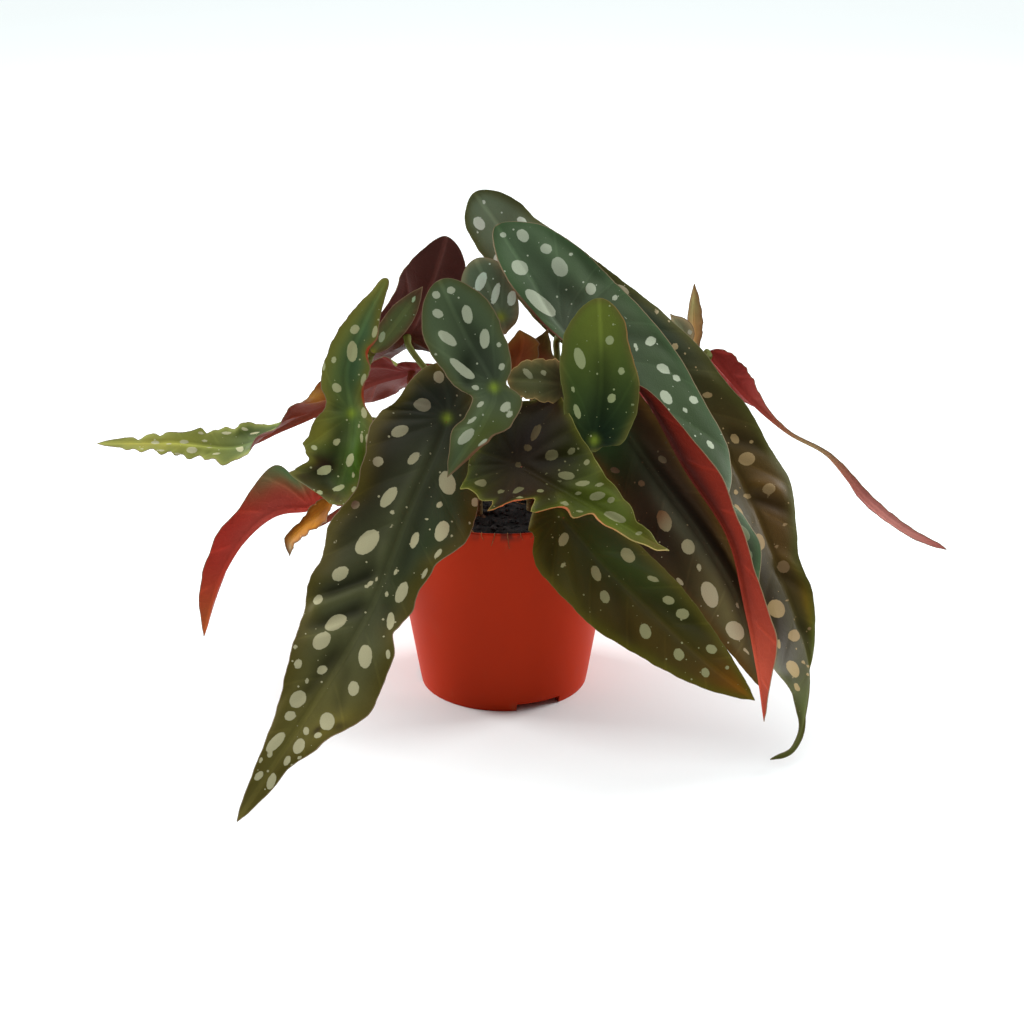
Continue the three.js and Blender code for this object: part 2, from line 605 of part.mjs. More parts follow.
function potGeometry() {
  const footInner = POT_BASE_RADIUS - POT_FOOT_WIDTH;
  const floorTop = NOTCH_HEIGHT + POT_FLOOR_THICK;
  let solid = turned([
    [0, NOTCH_HEIGHT],
    [footInner - POT_FOOT_SLOPE, NOTCH_HEIGHT],
    [footInner, POT_FLOOR_UNDER],
    [footInner, 0],
    [POT_BASE_RADIUS, 0],
    [potOuterRadius(NOTCH_HEIGHT * 2), NOTCH_HEIGHT * 2],
    [POT_RIM_RADIUS, POT_HEIGHT - RIM_ROUNDING],
    [POT_RIM_RADIUS - RIM_ROUNDING, POT_HEIGHT],
    [POT_RIM_RADIUS - POT_WALL, POT_HEIGHT],
    [potInnerRadius(floorTop), floorTop],
    [0, floorTop]
  ]);
  for (let i = 0; i < NOTCH_COUNT; i++) {
    solid = solid.subtract(footNotch(i));
  }
  return fromSolid(solid);
}

// How far the soil's lumpy top lies above its level.
function soilLumps(x, y) {
  return SOIL_LUMPS.reduce((sum, lump) => {
    const hill = Math.sin(2 * Math.PI * x / lump.wideX + 1) * Math.cos(2 * Math.PI * y / lump.wideY);
    return sum + lump.height * hill;
  }, 0);
}

// The soil fills the pot to a finger's breadth under the rim, with a lumpy top.
function soilGeometry() {
  const bottom = NOTCH_HEIGHT + POT_FLOOR_THICK + SEAT_GAP;
  const topRadius = potInnerRadius(SOIL_LEVEL) - 2 * SEAT_GAP;
  const profile = [[0, bottom], [potInnerRadius(bottom) - 2 * SEAT_GAP, bottom], [topRadius, SOIL_LEVEL]];
  for (let ring = SOIL_RINGS - 1; ring >= 0; ring--) {
    profile.push([topRadius * ring / SOIL_RINGS, SOIL_LEVEL]);
  }
  const geometry = new THREE.LatheGeometry(profile.map(([r, z]) => new THREE.Vector2(r, z)), POT_SIDES);
  geometry.rotateX(Math.PI / 2);
  const position = geometry.attributes.position;
  for (let i = 0; i < position.count; i++) {
    const [x, y, z] = [position.getX(i), position.getY(i), position.getZ(i)];
    if (z > SOIL_LEVEL - 1 && Math.hypot(x, y) < topRadius - 1) {
      position.setZ(i, z + soilLumps(x, y));
    }
  }
  return fromSolid(CANES.reduce((soil, cane) => soil.subtract(caneHole(cane)), toSolid(geometry)));
}

function namedMesh(name, geometry, finish) {
  const mesh = new THREE.Mesh(geometry, new THREE.MeshStandardMaterial(FINISHES[finish]));
  mesh.name = name;
  return mesh;
}

const plant = new THREE.Group();
plant.add(namedMesh('pot', potGeometry(), 'pot'));
plant.add(namedMesh('soil', soilGeometry(), 'soil'));
CANES.forEach((cane, index) => plant.add(namedMesh(cane.name, caneGeometry(cane, index), 'cane')));
for (const [name, leaf] of Object.entries(LEAVES)) {
  plant.add(namedMesh(name, bladeGeometry(leaf), leaf.finish));
}

export default plant;
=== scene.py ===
# %% [markdown]
# # A potted polka dot begonia
#
# This lesson dresses a packed plant in Blender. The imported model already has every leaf, cane and pot
# wall in its place, as plain solids. Each cell below makes one piece or one finish of the real plant:
# thin blades with sunken veins and silver spots, red undersides, jointed canes, dark potting soil and
# a satin orange pot. All lengths in the tables are millimetres, and MM turns them into metres.

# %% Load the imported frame
import math
import random

import bpy
import numpy as np
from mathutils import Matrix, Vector, noise


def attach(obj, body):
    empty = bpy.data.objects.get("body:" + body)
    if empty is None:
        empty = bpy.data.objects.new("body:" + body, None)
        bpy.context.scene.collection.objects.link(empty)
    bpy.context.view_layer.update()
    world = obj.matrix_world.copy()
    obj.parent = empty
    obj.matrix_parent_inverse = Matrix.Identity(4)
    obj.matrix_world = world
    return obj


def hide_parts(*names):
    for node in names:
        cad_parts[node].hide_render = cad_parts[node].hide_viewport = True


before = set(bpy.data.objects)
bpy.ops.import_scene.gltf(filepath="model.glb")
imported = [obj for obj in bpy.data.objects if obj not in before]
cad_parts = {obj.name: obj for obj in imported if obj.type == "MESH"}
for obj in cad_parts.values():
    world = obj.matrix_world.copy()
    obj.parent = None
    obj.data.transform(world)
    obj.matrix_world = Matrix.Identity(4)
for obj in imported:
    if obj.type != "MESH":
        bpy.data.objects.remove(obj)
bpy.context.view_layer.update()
MM = 0.001

# %% [markdown]
# ## The leaf table
#
# Every blade is described the way a botanist would sketch it: the line of its midrib from the end of
# the round basal lobe, over the spot where the stalk joins, to the tip; how wide it is on the left and
# on the right at each of those points; which way its upper face looks; and how it folds, curls and
# waves. The imported solids were made from the same table, so a finer blade made from it lies in the
# same place. The midribs began as points read off a photograph, each with a guessed depth. A small
# script turned them into millimetres, and they were then changed by hand.

# %% Leaf table
LEAVES = {
  "leaf_front_left": {
    "finish": "leaf_dark",
    "spine": [[-31, -46, 184], [-26, -62, 162], [-42, -95, 130], [-56, -122, 99],
      [-68, -140, 81], [-88, -163, 55], [-115, -185, 19]],
    "seat": 1, "left": [20, 29, 25, 29, 25, 13, 1], "right": [18, 17, 30, 15, 21, 12, 1],
    "face": [[0.1, -0.9, 0.35], [-0.05, -0.75, 0.65], [-0.1, -0.9, 0.4]],
    "fold": [4, 10, 14, 16], "curl": [-14, -14], "wave": [3, 4.5, 0.5],
    "stalk": { "cane": 0, "height": 132, "by": [[-20, -38, 146]] }
  },
  "leaf_left_bright": {
    "finish": "leaf_bright",
    "spine": [[-55, -20, 218], [-66, -30, 198], [-74, -38, 178], [-72, -46, 159],
      [-73, -58, 145], [-77, -60, 129], [-83, -50, 115]],
    "seat": 3, "left": [9, 12, 12, 10, 21, 22, 3], "right": [6, 8, 11, 9, 13, 12, 3],
    "face": [[-0.1, -0.85, 0.3], [0.1, -0.95, 0.3], [0, -0.7, 0.7], [0, -1, -0.2]],
    "fold": [2, 6, 4, 4], "curl": [-8, -10], "wave": [2.5, 3, 0.3],
    "stalk": { "cane": 0, "height": 140, "by": [[-40, -24, 146]] }
  },
  "leaf_young_centre": {
    "finish": "leaf_blue_green",
    "spine": [[-29, -58, 227], [-17, -66, 203], [-4, -78, 182], [-8, -88, 170],
      [-17, -95, 158], [-25, -98, 146]],
    "seat": 2, "left": [14, 18, 13, 10, 6, 1], "right": [13, 17, 10, 12, 7, 1],
    "face": [[-0.1, -0.9, 0.35], [0, -0.8, 0.6], [-0.2, -0.9, 0.2]],
    "fold": [3, 8, 12], "curl": [-8, -8], "wave": [1, 3, 0],
    "stalk": { "cane": 0, "height": 160, "by": [[-8, -40, 168]] }
  },
  "leaf_upright_right": {
    "finish": "leaf_olive",
    "spine": [[44, -56, 218], [45, -63, 198], [45, -70, 176], [42, -76, 156], [42, -75, 150]],
    "seat": 3, "left": [11, 18, 19, 11, 4], "right": [10, 16, 18, 13, 4],
    "face": [[0.05, -0.95, 0.3], [0.05, -0.95, 0.2]],
    "fold": [4, 4, 2], "curl": [-10, -10], "wave": [0.6, 2, 0],
    "stalk": { "cane": 1, "height": 148, "by": [[31, -44, 156]] }
  },
  "leaf_dark_right": {
    "finish": "leaf_brown",
    "spine": [[43, -24, 173], [50, -32, 159], [73, -58, 131], [92, -76, 109],
      [109, -92, 83], [122, -104, 42]],
    "seat": 1, "left": [10, 14, 22, 24, 20, 1], "right": [12, 16, 16, 12, 7, 1],
    "face": [[0, -0.8, 0.6], [-0.2, -0.8, 0.55], [0, -0.9, 0.3]],
    "fold": [6, 12, 16, 14], "curl": [-6, 6], "wave": [1.5, 3, 1],
    "stalk": { "cane": 1, "height": 136, "by": [[36, -18, 144]] }
  },
  "leaf_low_centre": {
    "finish": "leaf_brown",
    "spine": [[-13, -78, 152], [7, -90, 149], [26, -102, 142], [44, -112, 135],
      [61, -120, 127], [74, -124, 121]],
    "seat": 1, "left": [18, 30, 14, 9, 6, 1], "right": [24, 32, 24, 12, 7, 1],
    "face": [[0, -0.6, 0.8], [0.05, -0.6, 0.8], [0.1, -0.6, 0.75]],
    "fold": [4, 10, 10], "curl": [30, -6], "wave": [3, 4, 1.2],
    "stalk": { "cane": 1, "height": 118, "by": [[14, -62, 131]] }
  },
  "leaf_low_right": {
    "finish": "leaf_dark",
    "spine": [[18, -72, 126], [27, -78, 120], [45, -95, 104], [67, -112, 87],
      [91, -128, 69], [113, -140, 55]],
    "seat": 1, "left": [14, 20, 25, 21, 13, 1], "right": [12, 16, 18, 18, 12, 1],
    "face": [[0, -0.7, 0.7], [0.1, -0.8, 0.6], [0.1, -0.9, 0.4]],
    "fold": [4, 6, 6], "curl": [-12, -12], "wave": [1.5, 3, 0.4],
    "stalk": { "cane": 1, "height": 106, "by": [[20, -50, 113]] }
  },
  "leaf_large_right": {
    "finish": "leaf_blue_green",
    "spine": [[-3, -30, 246], [12, -38, 224], [29, -44, 198], [64, -52, 174],
      [86, -78, 138], [101, -95, 112], [112, -106, 82],
      [117, -112, 59], [121, -116, 32]],
    "seat": 2, "left": [8, 12, 14, 11, 19, 16, 16, 12, 1], "right": [12, 24, 38, 27, 20, 19, 12, 6, 1],
    "face": [[0.2, -0.85, 0.5], [0.45, -0.65, 0.55], [0.86, 0, 0.5], [0.88, 0, 0.45], [0.9, -0.1, 0.3]],
    "fold": [4, 12, 40, 42, 35], "curl": [0, 0], "wave": [1.5, 4, 0.6],
    "stalk": { "cane": 1, "height": 160, "by": [[25, -28, 176]] }
  },
  "leaf_behind_right": {
    "finish": "leaf_blue_green",
    "spine": [[-14, 4, 254], [6, -4, 229], [32, -10, 200], [66, -15, 181],
      [93, -25, 156], [117, -42, 119], [134, -62, 80],
      [146, -80, 46], [144, -92, 23], [138, -99, 9], [127, -101, 4]],
    "seat": 2, "left": [12, 16, 16, 16, 18, 18, 20, 21, 4, 2, 1],
    "right": [12, 22, 27, 24, 22, 21, 14, 6, 3, 2, 1],
    "face": [[0, -0.85, 0.5], [0.3, -0.8, 0.5], [0.5, -0.7, 0.4], [0.6, -0.7, 0.3]],
    "fold": [4, 8, 14, 16], "curl": [-4, -8], "wave": [3, 5, 0.2],
    "stalk": { "cane": 2, "height": 152, "by": [[32, 14, 168]] }
  },
  "leaf_maroon_back": {
    "finish": "leaf_maroon",
    "spine": [[-28, 24, 228], [-36, 18, 205], [-48, 12, 180], [-62, 32, 166],
      [-76, 66, 148], [-92, 104, 108]],
    "seat": 2, "left": [13, 17, 18, 20, 16, 1], "right": [8, 15, 20, 20, 16, 1],
    "face": [[-0.1, 0.95, 0.3], [-0.2, 0.8, 0.6], [-0.5, 0.6, 0.7]],
    "fold": [4, 8, 10], "curl": [-8, -8], "wave": [1.5, 3, 0],
    "stalk": { "cane": 0, "height": 148, "by": [[-34, -6, 164]] }
  },
  "leaf_far_left": {
    "finish": "leaf_red",
    "spine": [[-39, 6, 168], [-46, 12, 162], [-68, 20, 153], [-94, 28, 136], [-116, 34, 124],
      [-141, 42, 111], [-176, 50, 111], [-217, 60, 107]],
    "seat": 1, "left": [15, 18, 20, 18, 14, 12, 7, 1], "right": [12, 16, 20, 18, 14, 12, 7, 1],
    "face": [[-0.2, 0.6, 0.8], [-0.2, 0.7, 0.7], [0, 0.3, 1], [0, -0.6, 0.8], [0, -0.6, 0.8]],
    "fold": [4, 8, 12, 10], "curl": [-4, -4], "wave": [2, 7, 0],
    "stalk": { "cane": 0, "height": 134, "by": [[-28, 4, 146]] }
  },
  "leaf_red_left": {
    "finish": "leaf_red",
    "spine": [[-80, 0, 98], [-96, 0, 94], [-117, -2, 91], [-133, -8, 78], [-145, -14, 57], [-153, -18, 30]],
    "seat": 1, "left": [10, 22, 20, 12, 7, 1], "right": [8, 15, 16, 16, 9, 1],
    "face": [[0, 0.25, 1], [-0.3, 0.6, 0.75], [-0.7, 0.6, 0.4]],
    "fold": [48, 56, 34, 20], "curl": [0, 0], "wave": [1, 3, 0],
    "stalk": { "cane": 0, "height": 108, "by": [[-56, -6, 109]] }
  },
  "leaf_withered": {
    "finish": "leaf_withered",
    "spine": [[-84, -12, 104], [-96, -16, 94], [-106, -20, 85], [-107, -22, 76]],
    "seat": 0, "left": [5, 8, 6, 1], "right": [5, 8, 6, 1],
    "face": [[-0.3, -0.7, 0.6], [-0.3, -0.8, 0.4]],
    "fold": [20, 20], "curl": [20, 20], "wave": [1.5, 3, 0],
    "stalk": { "cane": 0, "height": 104, "by": [[-60, -12, 108]] }
  },
  "leaf_small_olive": {
    "finish": "leaf_olive",
    "spine": [[2, -60, 180], [15, -61, 180], [30, -56, 176], [41, -48, 169]],
    "seat": 2, "left": [7, 9, 9, 2], "right": [7, 10, 10, 2],
    "face": [[0, -0.9, 0.4], [0.1, -0.9, 0.4]],
    "fold": [6, 6], "curl": [-6, -6], "wave": [0.8, 3, 0],
    "stalk": { "cane": 1, "height": 156, "by": [[24, -40, 166]] }
  },
  "leaf_far_right": {
    "finish": "leaf_maroon",
    "spine": [[104, 35, 165], [113, 30, 156], [125, 22, 145], [144, 8, 132], [163, -5, 124],
      [180, -18, 105], [198, -30, 93], [217, -40, 87]],
    "seat": 0, "left": [8, 11, 10, 2, 2, 3.5, 3, 1], "right": [8, 11, 10, 2, 2, 3.5, 3, 1],
    "face": [[0.2, 0.9, 0.3], [0.1, 0.7, 0.6], [0.2, 0.3, 0.9], [0.2, 0.9, 0.1], [0.2, 0.95, -0.1]],
    "fold": [10, 12, 12], "curl": [0, 0], "wave": [1, 3, 0],
    "stalk": { "cane": 2, "height": 148, "by": [[50, 34, 168]] }
  },
  "leaf_small_centre": {
    "finish": "leaf_blue_green",
    "spine": [[-13, -26, 229], [-7, -33, 217], [-1, -38, 204], [1, -36, 195]],
    "seat": 2, "left": [10, 12, 9, 2], "right": [9, 12, 9, 2],
    "face": [[0, -0.9, 0.4], [0, -0.9, 0.4]],
    "fold": [4, 8], "curl": [-6, -6], "wave": [0.6, 2, 0],
    "stalk": { "cane": 0, "height": 172, "by": [[-4, -24, 190]] }
  },
  "leaf_small_left": {
    "finish": "leaf_bright",
    "spine": [[-64, -12, 179], [-56, -9, 188], [-48, -7, 198], [-39, -5, 210]],
    "seat": 0, "left": [4, 6, 6, 1], "right": [4, 6, 6, 1],
    "face": [[0.1, -0.9, 0.3], [0.1, -0.9, 0.3]],
    "fold": [6, 6], "curl": [-4, -4], "wave": [1, 3, 0],
    "stalk": { "cane": 0, "height": 126, "by": [[-46, -18, 134], [-71, -22, 152]] }
  },
  "leaf_bud_right": {
    "finish": "leaf_bud",
    "spine": [[97, 28, 168], [95, 26, 187], [95, 24, 204]],
    "seat": 0, "left": [4, 5, 1], "right": [4, 5, 1],
    "face": [[0.3, -0.9, 0.2], [0.3, -0.9, 0.2]],
    "fold": [30, 30], "curl": [10, 10], "wave": [0, 1, 0],
    "stalk": { "cane": 2, "height": 156, "by": [[46, 26, 162]] }
  },
  "leaf_young_right": {
    "finish": "leaf_blue_green",
    "spine": [[93, 24, 170], [89, 21, 181], [83, 18, 190]],
    "seat": 0, "left": [3, 6, 1], "right": [3, 6, 1],
    "face": [[0.1, -0.9, 0.4], [0.1, -0.9, 0.4]],
    "fold": [20, 20], "curl": [10, 10], "wave": [0.8, 2, 0],
    "stalk": { "cane": 2, "height": 152, "by": [[46, 20, 156]] }
  },
  "stipule_left": {
    "finish": "stipule",
    "spine": [[6, -40, 174], [5, -43, 187], [2, -46, 200]],
    "seat": 0, "left": [4, 7, 1], "right": [4, 7, 1],
    "face": [[0, -0.9, 0.3], [0, -0.9, 0.3]],
    "fold": [20, 20], "curl": [15, 15], "wave": [1, 2, 0],
    "stalk": { "cane": 1, "height": 162, "by": [] }
  },
  "stipule_right": {
    "finish": "stipule",
    "spine": [[14, -38, 176], [17, -40, 188], [21, -41, 199]],
    "seat": 0, "left": [4, 7, 1], "right": [4, 6, 1],
    "face": [[0, -0.9, 0.3], [0, -0.9, 0.3]],
    "fold": [20, 20], "curl": [15, 15], "wave": [1, 2, 0.5],
    "stalk": { "cane": 1, "height": 158, "by": [] }
  },
  "leaf_back_right": {
    "finish": "leaf_dark",
    "spine": [[32, 30, 150], [42, 46, 147], [56, 84, 134], [66, 130, 102], [74, 185, 54]],
    "seat": 1, "left": [22, 30, 34, 26, 1], "right": [22, 30, 34, 26, 1],
    "face": [[0.1, 0.3, 0.9], [0.2, 0.5, 0.8], [0.3, 0.8, 0.5]],
    "fold": [4, 10, 12], "curl": [-12, -12], "wave": [3, 3, 0.4],
    "stalk": { "cane": 2, "height": 126, "by": [[28, 32, 136]] }
  },
  "leaf_back_left": {
    "finish": "leaf_blue_green",
    "spine": [[-16, 40, 140], [-24, 56, 134], [-38, 92, 118], [-50, 134, 88], [-58, 185, 42]],
    "seat": 1, "left": [18, 24, 26, 20, 1], "right": [18, 24, 26, 20, 1],
    "face": [[-0.1, 0.3, 0.9], [-0.2, 0.5, 0.8], [-0.3, 0.8, 0.5]],
    "fold": [4, 10, 12], "curl": [-12, -12], "wave": [3, 3, 1.4],
    "stalk": { "cane": 2, "height": 118, "by": [[-18, 40, 124]] }
  },
  "leaf_back_low": {
    "finish": "leaf_dark",
    "spine": [[4, 52, 122], [6, 62, 119], [8, 92, 108], [8, 122, 84], [6, 146, 52]],
    "seat": 1, "left": [14, 20, 22, 18, 1], "right": [14, 20, 22, 18, 1],
    "face": [[0, 0.3, 0.9], [0, 0.5, 0.8], [0, 0.8, 0.5]],
    "fold": [4, 8, 10], "curl": [-10, -10], "wave": [2, 3, 2.1],
    "stalk": { "cane": 2, "height": 107, "by": [[4, 42, 113]] }
  }
}
print("leaves:", len(LEAVES))

# %% [markdown]
# ## Curves
#
# A few rows of numbers are enough for a whole leaf if the curve between them is smooth. The curve here
# is a cubic one through all the rows, worked out with numpy for many places at once.

# %% Smooth curves through rows of numbers
def spline(rows, t):
    """The smooth curve through the rows, at t from 0 to the last row's index. t may be an array."""
    rows = np.array(rows, float)
    if rows.ndim == 1:
        rows = rows[:, None]
    last = len(rows) - 1
    t = np.clip(np.asarray(t, float), 0, last)
    index = np.minimum(t.astype(int), last - 1)
    u = (t - index)[..., None]
    before, start, end, after = (rows[np.clip(index + k, 0, last)] for k in (-1, 0, 1, 2))
    slope_start = (end - before) / np.where(index > 0, 2, 1)[..., None]
    slope_end = (after - start) / np.where(index < last - 1, 2, 1)[..., None]
    rise = end - start
    bend = 3 * rise - 2 * slope_start - slope_end + u * (slope_start + slope_end - 2 * rise)
    return start + u * (slope_start + u * bend)


def spread(values, fraction):
    """One number or row of numbers from values spread evenly over the curve's length."""
    return spline(values, fraction * (len(values) - 1))


def unit(vectors):
    """Each vector with a length of one."""
    return vectors / np.maximum(np.linalg.norm(vectors, axis=-1, keepdims=True), 1e-9)


def smooth_step(value, low, high):
    """0 below low, 1 above high, and a soft change between them."""
    x = np.clip((value - low) / (high - low), 0, 1)
    return x * x * (3 - 2 * x)


print("a curve through 0, 10, 0 at its middle:", float(spline([0, 10, 0], 1.0)[0]))

# %% [markdown]
# ## The form of a blade
#
# A begonia's blade is not flat. Its midrib and side veins are sunk into the upper face, the fields
# between them swell up a little, and the margin is thin and slightly uneven. The blade is made as a
# grid: rows run along the midrib and columns across it. The same grid gives the paint its places,
# measured in millimetres on the blade itself, so that veins and spots follow the leaf's growth.

# %% Blade measures
GRID_STEP = 1.15
BLADE_HALF_THICKNESS = 0.25
MARGIN_HALF_THICKNESS = 0.12
LOBE_ROUNDING = 0.75
NARROW_START = 0.6
WAVE_SHIFT = 0.4
WAVE_FULL_WIDTH = 15
TIP_TAPER = 5
VEIN_ANGLE = math.radians(48)
VEIN_BEND = 0.004
LOBE_VEINS = 10
LOBE_VEIN_STEP = (2 * math.pi - 2 * VEIN_ANGLE) / LOBE_VEINS
SEED_STRIDE = 40
DIRECTION_STEP = 0.02
LOWEST_POINT = 0.3


# %% Rows of places along the midrib
def length_table(leaf):
    """Places t along the midrib and the length in mm from the stalk's seat to each of them."""
    last = len(leaf["spine"]) - 1
    t = np.linspace(0, last, 60 * last + 1)
    steps = np.linalg.norm(np.diff(spline(leaf["spine"], t), axis=0), axis=1)
    length = np.concatenate([[0], np.cumsum(steps)])
    return t, length - np.interp(leaf["seat"], t, length)


def blade_rows(leaf):
    """The rows' places t: close together on the round lobe and at a narrow start."""
    t, length = length_table(leaf)
    last, seat = t[-1], leaf["seat"]
    blade_steps = max(14, round(length[-1] / GRID_STEP))
    fraction = np.linspace(0, 1, blade_steps + 1)
    if seat == 0:
        return last * fraction ** 2 * (1 + NARROW_START - NARROW_START * fraction)
    lobe_steps = max(10, round(-1.3 * length[0] / GRID_STEP))
    lobe = seat * (1 - np.cos(0.5 * math.pi * np.arange(lobe_steps) / lobe_steps))
    return np.concatenate([lobe, seat + (last - seat) * fraction])


example_rows = blade_rows(LEAVES["leaf_large_right"])
print("rows along the largest blade:", len(example_rows))


# %% Veins as a map of the blade
def vein_map(along, across, gap, seed):
    """Turns places on the blade into places between its veins.

    Side veins leave the midrib every gap mm; behind the seat they fan out from it. The first value
    counts veins, so a vein runs wherever it is whole; the second is the way along the vein in mm;
    the third is how many mm one vein step is wide here.
    """
    ahead = along - VEIN_BEND * across ** 2
    reach = np.abs(across)
    angle = np.arctan2(reach, ahead)
    beside = angle <= VEIN_ANGLE
    start = (ahead - reach / math.tan(VEIN_ANGLE)) / gap
    turned = np.where(across < 0, 2 * math.pi - angle, angle)
    fan = -(turned - VEIN_ANGLE) / LOBE_VEIN_STEP
    number = np.where(beside, np.where(across < 0, -LOBE_VEINS - start, start), fan)
    way = np.where(beside, reach / math.sin(VEIN_ANGLE), np.hypot(ahead, across))
    wide = np.where(beside, gap * math.sin(VEIN_ANGLE), way * LOBE_VEIN_STEP)
    return number + SEED_STRIDE * seed, way, wide


print("vein count at the seat's right:", vein_map(np.array(30.0), np.array(5.0), 20, 0)[0].round(2))


# %% [markdown]
# ## Margins
#
# A few widths per blade give the leaf's form, and the solid has no more than those. The real margins
# have bays and bulges of their own. Each one here is a soft bump: its side of the blade, its place along
# the blade, how far it goes out (or in, where it is negative) and its reach, all three in mm.
# Two midribs are moved a little to the right in the same way.
#
# More than half of these bumps weren't chosen by hand. Another program solved them from margin points
# read off a photograph, and all of them were rounded by a script. A table like this is better written
# by hand, or replaced by a formula.

